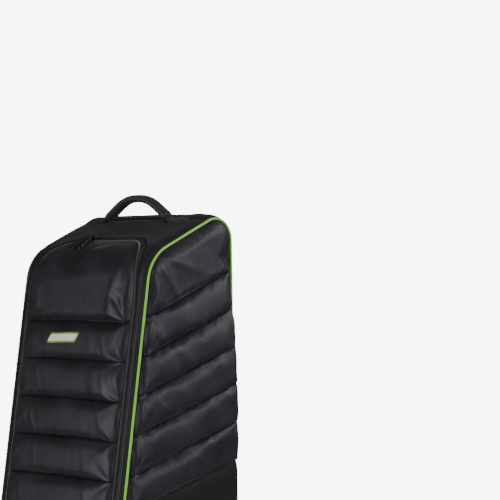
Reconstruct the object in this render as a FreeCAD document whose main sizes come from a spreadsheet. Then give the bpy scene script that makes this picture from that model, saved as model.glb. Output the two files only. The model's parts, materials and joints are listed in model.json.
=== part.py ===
# Wheeled soft golf travel case, standing upright.
# Millimetres, +Z up, front of the case towards -Y, origin on the floor at the middle of its bounding box.
# The case is a padded fabric shell on a moulded base tray.  Its side view is one closed outline: the
# front stands upright low down, leans back higher up, slopes over the top and comes straight down the
# back.  Each fabric panel is a slice of a skin that lies a stated distance outside that outline.
import FreeCAD, Part
import os
import Sketcher

doc = FreeCAD.newDocument("golf_travel_case")
sheet = doc.addObject("Spreadsheet::Sheet", "Sizes")

DIMENSIONS = (
    # side outline, measured where the pipings run
    ("half_width", 190, "centre plane to the edge of a side"),
    ("front_y", -176, "lower front, upright stretch"),
    ("break_z", 367, "height where the front starts to lean back"),
    ("front_corner_y", -39, "front top corner before rounding"),
    ("front_corner_z", 1202, "front top corner before rounding"),
    ("back_y", 184, "back of the shell"),
    ("back_corner_z", 1300, "back top corner before rounding"),
    ("break_round", 600, "rounding where the front starts to lean"),
    ("front_round", 85, "rounding of the front top corner"),
    ("back_round", 45, "rounding of the back top corner"),
    ("outline_foot_z", 60, "foot of the outline, inside the tray"),
    ("slope_angle", 23.72, "slope of the top, degrees"),
    # skin layers, as distances outside the outline
    ("skin_in", -2.5, "inner face of the shell fabric"),
    ("skin_out", 1.5, "outer face of the back panel"),
    ("border_out", 6, "outer face of the padded front border"),
    ("top_out", 6, "outer face of the padded yoke"),
    ("tape_in", 3, "inner face of the zipper tapes"),
    ("tape_out", 4.2, "outer face of the zipper tapes"),
    ("coil_in", 4.5, "inner face of the zipper coils"),
    ("coil_out", 8.5, "outer face of the zipper coils"),
    ("lining_in", 5.6, "inner face of the lid lining"),
    ("lining_out", 6.6, "outer face of the lid lining"),
    ("lid_in", 6.8, "inner face of the quilted lid"),
    ("lid_out", 14, "outer face of the quilted lid"),
    ("binding_out", 9, "outer face of the lid binding"),
    ("badge_out", 15.6, "outer face of the badge"),
    ("pad_in", -14, "inner face of the crown pad"),
    ("pad_out", -3, "outer face of the crown pad"),
    ("skin_half", 186, "half width of the front, top and back fabric"),
    ("back_skin_y", 150, "everything behind this belongs to the back panel"),
    # side panels
    ("side_in", 180, "inner face of a side panel"),
    ("side_out", 194, "outer face of a quilted side panel"),
    ("lower_side_out", 190, "outer face of a plain lower side panel"),
    ("side_inset", 4, "side panel edge inside the outline"),
    ("diagonal_front_z", 690, "quilting's lower edge, carried on to the lid side"),
    ("diagonal_back_z", 796, "quilting's lower edge, carried on behind the back"),
    ("diagonal_front_y", -160, "place of diagonal_front_z"),
    ("diagonal_back_y", 200, "place of diagonal_back_z"),
    ("seam_gap", 0.4, "clearance between neighbouring panels"),
    ("piping_radius", 3, "radius of a piping"),
    ("piping_x", 189.5, "centre of a piping"),
    ("piping_inset", 0.5, "piping centre inside the outline"),
    # heights of the panels
    ("panel_foot_z", 96.4, "lower edge of all the fabric"),
    ("hinge_z", 150, "height of the lid's fabric hinge"),
    ("hinge_tape_tall", 14, "height of the tape that the lid hinges on"),
    ("yoke_y", 108, "cross seam between front border and yoke"),
    ("yoke_foot_z", 1225, "lower edge of the yoke on the back"),
    # the zipper's U, drawn square to a line between the front and the top
    ("zip_tilt", 40, "tilt of the plane the U is drawn in, degrees"),
    ("zip_half", 172, "half width of the U at the middle of the chain"),
    ("zip_top", 810, "top of the U in its plane"),
    ("zip_round", 80, "corner rounding of the U at the middle of the chain"),
    ("zip_foot", -140, "foot of the U in its plane, below the hinge"),
    ("lid_edge", 11, "chain centre to the edge of the quilted lid"),
    ("binding_outer", 7.2, "chain centre to the outer edge of the lid binding"),
    ("binding_inner", 10.8, "chain centre to the inner edge of the lid binding"),
    ("tape_reach", 14, "chain centre to the inner edge of the lid's tape"),
    ("coil_gap", 0.2, "half the gap between the two coils"),
    ("coil_reach", 4, "chain centre to the outer edge of a coil"),
    ("border_reach", 4.2, "chain centre to the edge of the front border"),
    ("stop_z", 152, "foot of a zipper stop"),
    ("coil_foot_z", 160, "foot of the coils"),
    # sliders and pulls, in a frame that lies on the slope
    ("slider_length", 17, "slider along the chain"),
    ("slider_half", 7, "half width of a slider"),
    ("slider_flange", 2, "thickness of a slider's flanges"),
    ("slider_roof", 2.4, "underside of a slider's top plate above the chain centre"),
    ("tape_thick_clear", 1.8, "depth of the lid-side flange below the chain centre"),
    ("border_clear", 0.3, "foot of the frame-side flange above the chain centre"),
    ("slider_top", 4.6, "top of a slider's top plate above the chain centre"),
    ("bridge_top", 11.4, "top of the bridge that holds the pull"),
    ("bridge_half", 5.5, "half length of the bridge along the chain"),
    ("bridge_wall", 2, "thickness of a bridge post"),
    ("bridge_reach", 3, "half width of a bridge post"),
    ("pin_height", 9.2, "pull hinge above the chain centre"),
    ("pin_radius", 1.1, "radius of the pull's hinge bar"),
    ("eye_radius", 2.4, "outer radius of the pull's eye"),
    ("eye_bore", 1.4, "bore of the pull's eye"),
    ("eye_half", 3, "half length of the pull's eye"),
    ("pull_length", 48, "pull tab, hinge to tip"),
    ("pull_width", 17, "width of the pull tab"),
    ("pull_thick", 3.2, "thickness of the pull tab"),
    ("pull_round", 7.5, "corner rounding of the pull's tip"),
    ("pull_lift", 6, "angle by which a resting pull stands off the slope, degrees"),
    ("chain_y", 20.8, "middle of the chain on the straight top run"),
    ("chain_z", 1235.4, "middle of the chain on the straight top run"),
    ("left_slider_x", -68, "left slider at rest"),
    ("right_slider_x", -46, "right slider at rest"),
    # badge
    ("badge_x", -18.5, "middle of the badge"),
    ("badge_z", 1036, "middle of the badge"),
    ("badge_width", 95, "width of the badge"),
    ("badge_tall", 25, "height of the badge"),
    ("badge_round", 6, "corner rounding of the badge"),
    # carrying handle on the yoke
    ("handle_y", 99, "plane of the upright handle"),
    ("handle_root_x", 98, "handle root from the centre plane"),
    ("handle_root_z", 1276, "hinge line of the handle"),
    ("handle_top_x", 28, "end of the handle's level top"),
    ("handle_top_z", 1318, "middle of the handle's level top"),
    ("handle_bend", 38, "bend radius of the handle"),
    ("grip_thick", 14, "grip across its bend"),
    ("grip_wide", 25, "grip along Y"),
    ("web_thick", 2.4, "handle webbing thickness"),
    ("web_wide", 20, "handle webbing width"),
    ("wedge_angle", 40, "bevel of the handle's roots, degrees"),
    ("grip_start", 5, "grip starts this much above the webbing's roots"),
    ("anchor_start", 90, "inner end of an anchor patch"),
    ("anchor_end", 146, "outer end of an anchor patch"),
    ("anchor_wide", 26, "anchor patch along the slope"),
    ("anchor_in", 6.3, "underside of an anchor patch, outside the outline"),
    ("anchor_thick", 2, "thickness of an anchor patch"),
    # moulded base
    ("tray_half", 188, "half width of the base tray"),
    ("tray_front_y", -180, "front of the base tray"),
    ("tray_back_y", 184, "back of the base tray"),
    ("tray_foot_z", 22, "underside of the base tray"),
    ("tray_top_z", 96, "rim of the base tray"),
    ("tray_wall", 3.5, "wall of the base tray"),
    ("tray_floor", 4, "floor of the base tray"),
    ("tray_round", 24, "corner rounding of the base tray"),
    # wheels
    ("wheel_x", 160, "middle of a wheel"),
    ("wheel_y", 152, "axle behind the centre plane"),
    ("wheel_radius", 38, "rolling radius"),
    ("wheel_half", 12, "half width of a wheel"),
    ("tyre_round", 7, "shoulder rounding of the tyre"),
    ("hub_radius", 25, "outer radius of the hub"),
    ("bearing_radius", 11, "outer radius of a bearing"),
    ("bearing_width", 7, "width of a bearing"),
    ("hub_bore", 7, "bore of the hub between the bearings"),
    ("axle_radius", 4, "radius of an axle"),
    ("axle_fit", 0.05, "radial clearance of an axle"),
    ("housing_radius", 45, "outer radius of a wheel housing"),
    ("housing_wall", 3, "wall of a wheel housing"),
    ("housing_half", 17, "half width of a wheel housing"),
    ("axle_half", 20, "half length of an axle"),
    ("axle_head", 7, "radius of an axle's heads"),
    # feet and fasteners
    ("foot_x", 150, "middle of a front foot"),
    ("foot_y", -146, "middle of a front foot"),
    ("foot_length", 44, "foot along X"),
    ("foot_width", 30, "foot along Y"),
    ("foot_round", 6, "corner rounding of a foot"),
    ("screw_radius", 2.5, "shank radius of a foot screw"),
    ("screw_head", 5, "head radius of a foot screw"),
    ("screw_head_tall", 3, "height of a foot screw's head"),
    ("rivet_head", 5, "head radius of a tray rivet"),
    ("rivet_proud", 2, "height of a tray rivet's head"),
    ("rivet_shank", 2, "shank radius of a tray rivet"),
    ("rivet_grip", 5, "length of a tray rivet's shank"),
    ("rivet_pitch", 55, "spacing of the tray rivets"),
    ("rivet_z", 84, "height of the tray rivets"),
    # inside
    ("board_half", 176, "half width of the back board"),
    ("board_in_y", 176.5, "front face of the back board"),
    ("board_out_y", 179.5, "rear face of the back board"),
    ("board_foot_z", 100, "foot of the back board"),
    ("board_top_z", 1240, "top of the back board"),
    ("floor_pad_thick", 14, "foam pad on the tray floor"),
    ("floor_pad_back_y", 100, "rear edge of the floor pad, ahead of the wheel housings"),
    ("strap_wide", 38, "club strap webbing width"),
    ("strap_thick", 2, "club strap webbing thickness"),
    ("strap_y", 173, "front face of a strap end lying on the back board"),
    ("strap_end_x", 150, "outer end of a strap"),
    ("strap_rivet_inset", 8, "strap end to the middle of its rivets"),
    ("buckle_end_x", 32, "outer end of a buckle half"),
    ("buckle_tall", 46, "buckle height"),
    ("buckle_thick", 10, "buckle thickness"),
    ("buckle_round", 6, "corner rounding of a buckle half"),
    ("buckle_mouth", 3, "depth by which a strap enters its buckle half"),
    ("upper_strap_z", 900, "height of the upper club strap"),
    ("lower_strap_z", 450, "height of the lower club strap"),
)
for row, (alias, value, meaning) in enumerate(DIMENSIONS, start=1):
    sheet.set(f"A{row}", alias)
    sheet.set(f"B{row}", str(value))
    sheet.set(f"C{row}", meaning)
    sheet.setAlias(f"B{row}", alias)
doc.recompute()

SIDES = (("left", -1), ("right", 1))
RIVETS_PER_SIDE = 5
SIDE_VIEW = FreeCAD.Rotation(FreeCAD.Vector(1, 1, 1), 120)     # a sketch's X is Y, its Y is Z
FRONT_VIEW = FreeCAD.Rotation(FreeCAD.Vector(1, 0, 0), 90)     # a sketch's X is X, its Y is Z
PLAN_VIEW = FreeCAD.Rotation()
X_AXIS = FreeCAD.Vector(1, 0, 0)
Y_AXIS = FreeCAD.Vector(0, 1, 0)
nodes = []


def named(text):
    """Give every dimension name in an expression its sheet prefix."""
    words = []
    for word in text.replace("(", "( ").replace(")", " )").split():
        is_name = word[0].isalpha() and word not in ("sin(", "cos(", "tan(")
        words.append(f"Sizes.{word}" if is_name else word)
    return " ".join(words)


def number(text):
    return float(sheet.evalExpression(named(text)))


def bind(item, **sizes):
    for name, text in sizes.items():
        item.setExpression(name, named(text))


def place(item, x="0", y="0", z="0", rotation=None):
    """Put an object at a point given by expressions, optionally turned."""
    point = FreeCAD.Vector(number(x), number(y), number(z))
    item.Placement = FreeCAD.Placement(point, rotation or item.Placement.Rotation)
    for axis, text in (("x", x), ("y", y), ("z", z)):
        item.setExpression(f"Placement.Base.{axis}", named(text))
    return item


def node(item, name):
    """Mark an object as a finished sub-part; its label names its file."""
    item.Label = name
    if item.Label != name:
        raise RuntimeError(f"the label {name} is taken")
    nodes.append(item)
    return item


# ---- sketches -----------------------------------------------------------------------------------

def draw(sketch, points, rounds=None, closed=True):
    """Straight runs through points of expressions; rounds gives a radius to some of the corners."""
    rounds = rounds or {}
    places = [FreeCAD.Vector(number(a), number(b), 0) for a, b in points]
    count = len(points)
    runs = count if closed else count - 1
    for i in range(runs):
        sketch.addGeometry(Part.LineSegment(places[i], places[(i + 1) % count]), False)
    for i in range(runs if closed else runs - 1):
        sketch.addConstraint(Sketcher.Constraint("Coincident", i, 2, (i + 1) % count, 1))
    for i, pair in enumerate(points):
        line, end = (i, 1) if i < runs else (i - 1, 2)
        for kind, text in zip(("DistanceX", "DistanceY"), pair):
            index = sketch.addConstraint(Sketcher.Constraint(kind, -1, 1, line, end, number(text)))
            sketch.setExpression(f"Constraints[{index}]", named(text))
    for corner, text in rounds.items():
        first_new = sketch.GeometryCount
        sketch.fillet((corner - 1) % count, 2, number(text), True, True)
        arc = next(i for i in range(first_new, sketch.GeometryCount)
                   if isinstance(sketch.Geometry[i], Part.ArcOfCircle))
        index = sketch.addConstraint(Sketcher.Constraint("Radius", arc, number(text)))
        sketch.setExpression(f"Constraints[{index}]", named(text))
    return sketch


def free_sketch(name, rotation, points, rounds=None, closed=True):
    sketch = doc.addObject("Sketcher::SketchObject", name)
    sketch.Placement = FreeCAD.Placement(FreeCAD.Vector(), rotation)
    return draw(sketch, points, rounds, closed)


def body_sketch(body, name, role, points, rounds=None):
    sketch = body.newObject("Sketcher::SketchObject", name)
    sketch.AttachmentSupport = [(f, "") for f in body.Origin.OriginFeatures if f.Role == role]
    sketch.MapMode = "FlatFace"
    return draw(sketch, points, rounds)


def rectangle(low_a, high_a, low_b, high_b):
    return [(low_a, low_b), (high_a, low_b), (high_a, high_b), (low_a, high_b)]


# ---- solids and booleans ------------------------------------------------------------------------

def extrude(name, profile, length, symmetric=True):
    solid = doc.addObject("Part::Extrusion", name)
    solid.Base = profile
    solid.DirMode = "Normal"
    solid.Solid = True
    solid.Symmetric = symmetric
    bind(solid, LengthFwd=length)
    return solid


def box(name, x0, x1, y0, y1, z0, z1):
    solid = doc.addObject("Part::Box", name)
    bind(solid, Length=f"( {x1} ) - ( {x0} )", Width=f"( {y1} ) - ( {y0} )", Height=f"( {z1} ) - ( {z0} )")
    return place(solid, x0, y0, z0)


def cylinder_x(name, radius, x0, x1, y, z):
    """A cylinder along X from x0 to x1."""
    solid = doc.addObject("Part::Cylinder", name)
    bind(solid, Radius=radius, Height=f"( {x1} ) - ( {x0} )")
    return place(solid, x0, y, z, FreeCAD.Rotation(Y_AXIS, 90))


def cylinder_z(name, radius, x, y, z0, z1):
    solid = doc.addObject("Part::Cylinder", name)
    bind(solid, Radius=radius, Height=f"( {z1} ) - ( {z0} )")
    return place(solid, x, y, z0)


def cut(name, base, *tools):
    for tool in tools:
        result = doc.addObject("Part::Cut", name + "_cut")
        result.Base = base
        result.Tool = tool
        base = result
    return base


def common(name, base, *tools):
    for tool in tools:
        result = doc.addObject("Part::Common", name + "_common")
        result.Base = base
        result.Tool = tool
        base = result
    return base


def fuse(name, solids):
    result = doc.addObject("Part::MultiFuse", name + "_fuse")
    result.Shapes = list(solids)
    return result


def group(name, solids):
    """Several separate, identical solids that share one node."""
    result = doc.addObject("Part::Compound", name + "_group")
    result.Links = list(solids)
    return result


def sweep(name, section, path):
    solid = doc.addObject("Part::Sweep", name)
    doc.recompute()
    solid.Sections = [section]
    solid.Spine = (path, [f"Edge{i + 1}" for i in range(len(path.Shape.Edges))])
    solid.Solid = True
    solid.Frenet = False
    return solid


# ---- the outline and the skins that follow it ---------------------------------------------------

outline = free_sketch(
    "outline", SIDE_VIEW,
    [("front_y", "outline_foot_z"), ("front_y", "break_z"), ("front_corner_y", "front_corner_z"),
     ("back_y", "back_corner_z"), ("back_y", "outline_foot_z")],
    {1: "break_round", 2: "front_round", 3: "back_round"})


def offset_outline(name, distance):
    wire = doc.addObject("Part::Offset2D", name)
    wire.Source = outline
    wire.Join = "Intersection"
    bind(wire, Value=distance)
    return wire


def skin(name, inner, outer):
    """The outline's skin between two distances, as wide as the front, top and back fabric."""
    inside = extrude(name + "_inside", offset_outline(name + "_inner", inner), "2 * skin_half")
    outside = extrude(name + "_outside", offset_outline(name + "_outer", outer), "2 * skin_half")
    return cut(name, outside, inside)


def zip_prism(name, inset):
    """Everything inside the zipper's U, drawn inset from the middle of the chain."""
    half = f"zip_half - ( {inset} )"
    top = f"zip_top - ( {inset} )"
    corner = f"zip_round - ( {inset} )"
    sketch = free_sketch(
        name + "_sketch", FreeCAD.Rotation(X_AXIS, number("zip_tilt")),
        rectangle(f"0 - ( {half} )", half, "zip_foot", top), {2: corner, 3: corner})
    prism = extrude(name, sketch, "2 * back_corner_z")
    return prism


def front_cell(name, foot_z, rear_y="yoke_y"):
    """All of the front and the slope down to a height and back to a cross seam."""
    return box(name, "0 - 2 * half_width", "2 * half_width", "2 * front_y", rear_y,
               foot_z, "back_corner_z + half_width")


lid_prism = zip_prism("lid_prism", "lid_edge")
binding_hole = zip_prism("binding_hole", "binding_inner")
binding_prism = zip_prism("binding_prism", "binding_outer")
tape_hole = zip_prism("tape_hole", "tape_reach")
lid_tape_prism = zip_prism("lid_tape_prism", "coil_gap + coil_gap")
lid_coil_prism = zip_prism("lid_coil_prism", "coil_gap")
lid_coil_hole = zip_prism("lid_coil_hole", "coil_reach")
frame_coil_hole = zip_prism("frame_coil_hole", "0 - coil_gap")
frame_coil_prism = zip_prism("frame_coil_prism", "0 - coil_reach")
border_hole = zip_prism("border_hole", "0 - border_reach")

above_hinge = front_cell("above_hinge", "hinge_z + seam_gap")
above_stops = front_cell("above_stops", "coil_foot_z")


# ---- fabric shell -------------------------------------------------------------------------------

def make_front_border():
    padded = skin("border_skin", "skin_in", "border_out")
    front = common("border_front", padded, above_hinge)
    node(cut("front_border", front, border_hole), "front_border")


def make_yoke_and_back():
    padded = skin("yoke_skin", "skin_in", "top_out")
    yoke_cell = box("yoke_cell", "0 - 2 * half_width", "2 * half_width", "yoke_y + seam_gap",
                    "2 * back_y", "yoke_foot_z", "back_corner_z + half_width")
    node(common("top_yoke", padded, yoke_cell), "top_yoke")
    thin = skin("back_skin", "skin_in", "skin_out")
    back_cell = box("back_cell", "0 - 2 * half_width", "2 * half_width", "back_skin_y", "2 * back_y",
                    "panel_foot_z", "yoke_foot_z - seam_gap")
    node(common("back_panel", thin, back_cell), "back_panel")


def make_lower_front():
    padded = skin("lower_front_skin", "skin_in", "border_out")
    cell = box("lower_front_cell", "0 - 2 * half_width", "2 * half_width", "2 * front_y", "0",
               "panel_foot_z", "hinge_z - seam_gap")
    node(common("lower_front_panel", padded, cell), "lower_front_panel")
    tape = skin("hinge_tape_skin", "border_out + seam_gap", "coil_out")
    tape_cell = box("hinge_tape_cell", "seam_gap - zip_half", "zip_half - seam_gap", "2 * front_y", "0",
                    "hinge_z - hinge_tape_tall", "hinge_z - seam_gap")
    node(common("lid_hinge_tape", tape, tape_cell), "lid_hinge_tape")


def make_side(side, sign):
    """Quilted upper panel, plain lower panel and the piping along their edge."""
    reach = "2 * back_corner_z"
    above = free_sketch(f"{side}_above_diagonal", SIDE_VIEW, [
        ("diagonal_front_y", "diagonal_front_z"), ("diagonal_back_y", "diagonal_back_z"),
        ("diagonal_back_y", reach), ("diagonal_front_y", reach)])
    below = free_sketch(f"{side}_below_diagonal", SIDE_VIEW, [
        ("2 * front_y", "panel_foot_z"), ("diagonal_back_y", "panel_foot_z"),
        ("diagonal_back_y", "diagonal_back_z - seam_gap"),
        ("diagonal_front_y", "diagonal_front_z - seam_gap"),
        ("2 * front_y", "diagonal_front_z - seam_gap")])
    edge = offset_outline(f"{side}_side_edge", "0 - side_inset")
    for part, region, outer in (("side_panel", above, "side_out"),
                                ("lower_side_panel", below, "lower_side_out")):
        thickness = f"{outer} - side_in"
        start = "side_in" if sign > 0 else f"0 - {outer}"
        slab = place(extrude(f"{side}_{part}_slab", edge, thickness, symmetric=False), x=start)
        slab.Reversed = True
        cell = extrude(f"{side}_{part}_cell", region, "4 * half_width")
        node(common(f"{side}_{part}", slab, cell), f"{side}_{part}")


def make_piping(side, sign):
    path = free_sketch(
        f"{side}_piping_path", SIDE_VIEW,
        [("front_y + piping_inset", "panel_foot_z"), ("front_y + piping_inset", "break_z"),
         ("front_corner_y + piping_inset", "front_corner_z - piping_inset"),
         ("back_y - piping_inset", "back_corner_z - piping_inset"),
         ("back_y - piping_inset", "panel_foot_z")],
        {1: "break_round", 2: "front_round", 3: "back_round"}, closed=False)
    centre = "piping_x" if sign > 0 else "0 - piping_x"
    place(path, x=centre, rotation=SIDE_VIEW)
    ring = doc.addObject("Part::Circle", f"{side}_piping_section")
    bind(ring, Radius="piping_radius")
    place(ring, centre, "front_y + piping_inset", "panel_foot_z")
    node(sweep(f"{side}_piping", ring, path), f"{side}_piping")


# ---- zipper and lid -----------------------------------------------------------------------------

def make_zipper():
    coil = skin("coil_skin", "coil_in", "coil_out")
    coil_front = common("coil_front", coil, above_stops)
    frame_band = cut("frame_coil_band", common("frame_coil_outer", coil_front, frame_coil_prism),
                     frame_coil_hole)
    node(frame_band, "frame_zipper_coil")
    lid_band = cut("lid_coil_band", common("lid_coil_outer", coil_front, lid_coil_prism), lid_coil_hole)
    node(lid_band, "lid_zipper_coil")
    tape = skin("tape_skin", "tape_in", "tape_out")
    tape_front = common("tape_front", tape, above_hinge)
    frame_tape = cut("frame_tape_band", common("frame_tape_outer", tape_front, frame_coil_prism),
                     frame_coil_hole)
    node(frame_tape, "frame_zipper_tape")
    lid_tape = cut("lid_tape_band", common("lid_tape_outer", tape_front, lid_tape_prism), tape_hole)
    node(lid_tape, "lid_zipper_tape")
    stops = []
    for side, sign in SIDES:
        low = "zip_half + coil_gap" if sign > 0 else "0 - zip_half - coil_reach"
        high = "zip_half + coil_reach" if sign > 0 else "0 - zip_half - coil_gap"
        stops.append(box(f"{side}_zipper_stop", low, high, "front_y - coil_out", "front_y - coil_in",
                         "stop_z", "coil_foot_z - seam_gap"))
    node(group("zipper_stops", stops), "zipper_stops")


def make_lid():
    for name, inner, outer in (("lid_panel", "lid_in", "lid_out"), ("lid_lining", "lining_in", "lining_out")):
        layer = common(name + "_front", skin(name + "_skin", inner, outer), above_hinge)
        node(common(name, layer, lid_prism), name)
    strip = common("binding_front", skin("binding_skin", "coil_in", "binding_out"), above_hinge)
    node(cut("lid_binding", common("binding_outer_edge", strip, binding_prism), binding_hole), "lid_binding")
    layer = skin("badge_skin", "lid_out + seam_gap / 2", "badge_out")
    field = free_sketch(
        "badge_outline", FRONT_VIEW,
        rectangle("badge_x - badge_width / 2", "badge_x + badge_width / 2",
                  "badge_z - badge_tall / 2", "badge_z + badge_tall / 2"),
        {corner: "badge_round" for corner in range(4)})
    prism = extrude("badge_prism", field, "2 * half_width", symmetric=False)
    node(common("badge", layer, prism), "badge")


# ---- sliders and pulls --------------------------------------------------------------------------

def make_slider(side, centre):
    """A roof over the chain with a flange down each side and a bridge that holds the pull."""
    half = "slider_length / 2"
    body = doc.addObject("PartDesign::Body", f"{side}_slider_body")
    # cross-section: the frame-side flange is shorter, because the border's fabric stands higher there
    section = body_sketch(body, f"{side}_slider_section", "YZ_Plane", [
        ("0 - slider_half", "0 - tape_thick_clear"), ("slider_flange - slider_half", "0 - tape_thick_clear"),
        ("slider_flange - slider_half", "slider_roof"), ("slider_half - slider_flange", "slider_roof"),
        ("slider_half - slider_flange", "border_clear"), ("slider_half", "border_clear"),
        ("slider_half", "slider_top"), ("0 - slider_half", "slider_top")])
    pad = body.newObject("PartDesign::Pad", f"{side}_slider_roof")
    pad.Profile = section
    pad.SideType = "Symmetric"
    bind(pad, Length="slider_length")
    for index, sign in enumerate((-1, 1)):
        low = "bridge_half - bridge_wall" if sign > 0 else "0 - bridge_half"
        high = "bridge_half" if sign > 0 else "bridge_wall - bridge_half"
        post = body_sketch(body, f"{side}_slider_post_{index}", "XZ_Plane",
                           rectangle(low, high, "slider_roof", "bridge_top"))
        pad = body.newObject("PartDesign::Pad", f"{side}_slider_post_pad_{index}")
        pad.Profile = post
        pad.SideType = "Symmetric"
        bind(pad, Length="2 * bridge_reach")
    bar = cylinder_x(f"{side}_slider_bar", "pin_radius", "bridge_wall / 2 - bridge_half",
                     "bridge_half - bridge_wall / 2", "0", "pin_height")
    whole = fuse(f"{side}_slider_whole", [body, bar])
    place(whole, centre, "chain_y", "chain_z", FreeCAD.Rotation(X_AXIS, number("slope_angle")))
    node(whole, f"{side}_slider")


def make_pull(side, centre):
    """A flat tab with an eye that turns on the slider's bar; it rests over the lid."""
    eye = cylinder_x(f"{side}_pull_eye", "eye_radius", "0 - eye_half", "eye_half", "0", "0")
    tab_sketch = free_sketch(
        f"{side}_pull_tab_outline", PLAN_VIEW,
        [("0 - eye_half", "0"), ("0 - eye_half", "0 - bridge_half"), ("0 - pull_width / 2", "0 - pull_width"),
         ("0 - pull_width / 2", "0 - pull_length"), ("pull_width / 2", "0 - pull_length"),
         ("pull_width / 2", "0 - pull_width"), ("eye_half", "0 - bridge_half"), ("eye_half", "0")],
        {3: "pull_round", 4: "pull_round"})
    tab = extrude(f"{side}_pull_tab", tab_sketch, "pull_thick")
    bore = cylinder_x(f"{side}_pull_bore", "eye_bore", "0 - pull_width", "pull_width", "0", "0")
    whole = cut(f"{side}_pull_whole", fuse(f"{side}_pull_blank", [eye, tab]), bore)
    turn = number("slope_angle") - number("pull_lift")
    place(whole, centre, "chain_y - pin_height * sin( slope_angle * 1deg )",
          "chain_z + pin_height * cos( slope_angle * 1deg )", FreeCAD.Rotation(X_AXIS, turn))
    node(whole, f"{side}_pull")


# ---- carrying handle ----------------------------------------------------------------------------

def handle_wedge(name, start_z):
    """The space above the handle's roots, bevelled both ways so that the handle can tip."""
    rise = "half_width * tan( wedge_angle * 1deg )"
    sketch = free_sketch(name + "_sketch", SIDE_VIEW, [
        ("handle_y", start_z), ("handle_y + half_width", f"{start_z} + {rise}"),
        ("handle_y + half_width", f"{start_z} + 4 * half_width"),
        ("handle_y - half_width", f"{start_z} + 4 * half_width"),
        ("handle_y - half_width", f"{start_z} + {rise}")])
    return extrude(name, sketch, "4 * half_width")


def make_handle():
    sink = "grip_wide"       # the path starts below the roots, and the wedge trims it
    slant = f"{sink} * ( handle_root_x - handle_top_x ) / ( handle_top_z - handle_root_z )"
    start_x = f"handle_root_x + {slant}"
    start_z = f"handle_root_z - {sink}"
    path = free_sketch(
        "handle_path", FRONT_VIEW,
        [(f"0 - ( {start_x} )", start_z), ("0 - handle_top_x", "handle_top_z"),
         ("handle_top_x", "handle_top_z"), (start_x, start_z)],
        {1: "handle_bend", 2: "handle_bend"}, closed=False)
    place(path, y="handle_y", rotation=FRONT_VIEW)
    lean = FreeCAD.Vector(number("handle_root_x - handle_top_x"), 0, number("handle_top_z - handle_root_z"))
    facing = FreeCAD.Rotation(FreeCAD.Vector(0, 0, 1), lean)
    oval = doc.addObject("Part::Ellipse", "grip_section")
    bind(oval, MajorRadius="grip_wide / 2", MinorRadius="grip_thick / 2")
    quarter = FreeCAD.Rotation(FreeCAD.Vector(0, 0, 1), 90)
    place(oval, f"0 - ( {start_x} )", "handle_y", start_z, facing.multiply(quarter))
    strip = doc.addObject("Part::Plane", "web_section")
    bind(strip, Length="web_thick", Width="web_wide")
    corner = facing.multVec(FreeCAD.Vector(-number("web_thick") / 2, -number("web_wide") / 2, 0))
    root = FreeCAD.Vector(-number(start_x), number("handle_y"), number(start_z))
    strip.Placement = FreeCAD.Placement(root + corner, facing)
    tube = sweep("grip_tube", oval, path)
    web = sweep("web_strip", strip, path)
    node(common("handle_webbing", web, handle_wedge("web_wedge", "handle_root_z")), "handle_webbing")
    foam = common("grip_trimmed", tube, handle_wedge("grip_wedge", "handle_root_z + grip_start"))
    node(cut("handle_grip", foam, web), "handle_grip")


def make_anchors():
    patches = []
    for side, sign in SIDES:
        start = "anchor_start" if sign > 0 else "0 - anchor_end"
        patch = doc.addObject("Part::Box", f"{side}_anchor_patch")
        bind(patch, Length="anchor_end - anchor_start", Width="anchor_wide", Height="anchor_thick")
        low_y = "handle_y - anchor_wide / 2 * cos( slope_angle * 1deg )"
        run = f"( {low_y} - front_corner_y )"
        line_z = f"front_corner_z + {run} * tan( slope_angle * 1deg )"
        low_z = f"{line_z} + anchor_in / cos( slope_angle * 1deg )"
        place(patch, start, low_y, low_z, FreeCAD.Rotation(X_AXIS, number("slope_angle")))
        patches.append(patch)
    node(group("handle_anchors", patches), "handle_anchors")


# ---- moulded base, wheels and feet --------------------------------------------------------------

def make_tray():
    body = doc.addObject("PartDesign::Body", "tray_blank")
    corners = {i: "tray_round" for i in range(4)}
    plan = body_sketch(body, "tray_plan", "XY_Plane",
                       rectangle("0 - tray_half", "tray_half", "tray_front_y", "tray_back_y"), corners)
    plan.setExpression("AttachmentOffset.Base.z", named("tray_foot_z"))
    pad = body.newObject("PartDesign::Pad", "tray_pad")
    pad.Profile = plan
    bind(pad, Length="tray_top_z - tray_foot_z")
    inner = {i: "tray_round - tray_wall" for i in range(4)}
    hollow = body_sketch(
        body, "tray_hollow", "XY_Plane",
        rectangle("tray_wall - tray_half", "tray_half - tray_wall",
                  "tray_front_y + tray_wall", "tray_back_y - tray_wall"), inner)
    hollow.setExpression("AttachmentOffset.Base.z", named("tray_top_z"))
    pocket = body.newObject("PartDesign::Pocket", "tray_pocket")
    pocket.Profile = hollow
    bind(pocket, Length="tray_top_z - tray_foot_z - tray_floor")
    wells = []
    for side, sign in SIDES:
        middle = f"{sign} * wheel_x"
        reach = "( housing_half + seam_gap )"
        wells.append(cylinder_x(f"{side}_well", "housing_radius + seam_gap", f"{middle} - {reach}",
                                f"{middle} + {reach}", "wheel_y", "wheel_radius"))
        wells.append(cylinder_z(f"{side}_foot_screw_hole", "screw_radius + axle_fit", f"{sign} * foot_x",
                                "foot_y", "0", "tray_top_z"))
    node(cut("base_tray", body, *wells), "base_tray")


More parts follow.
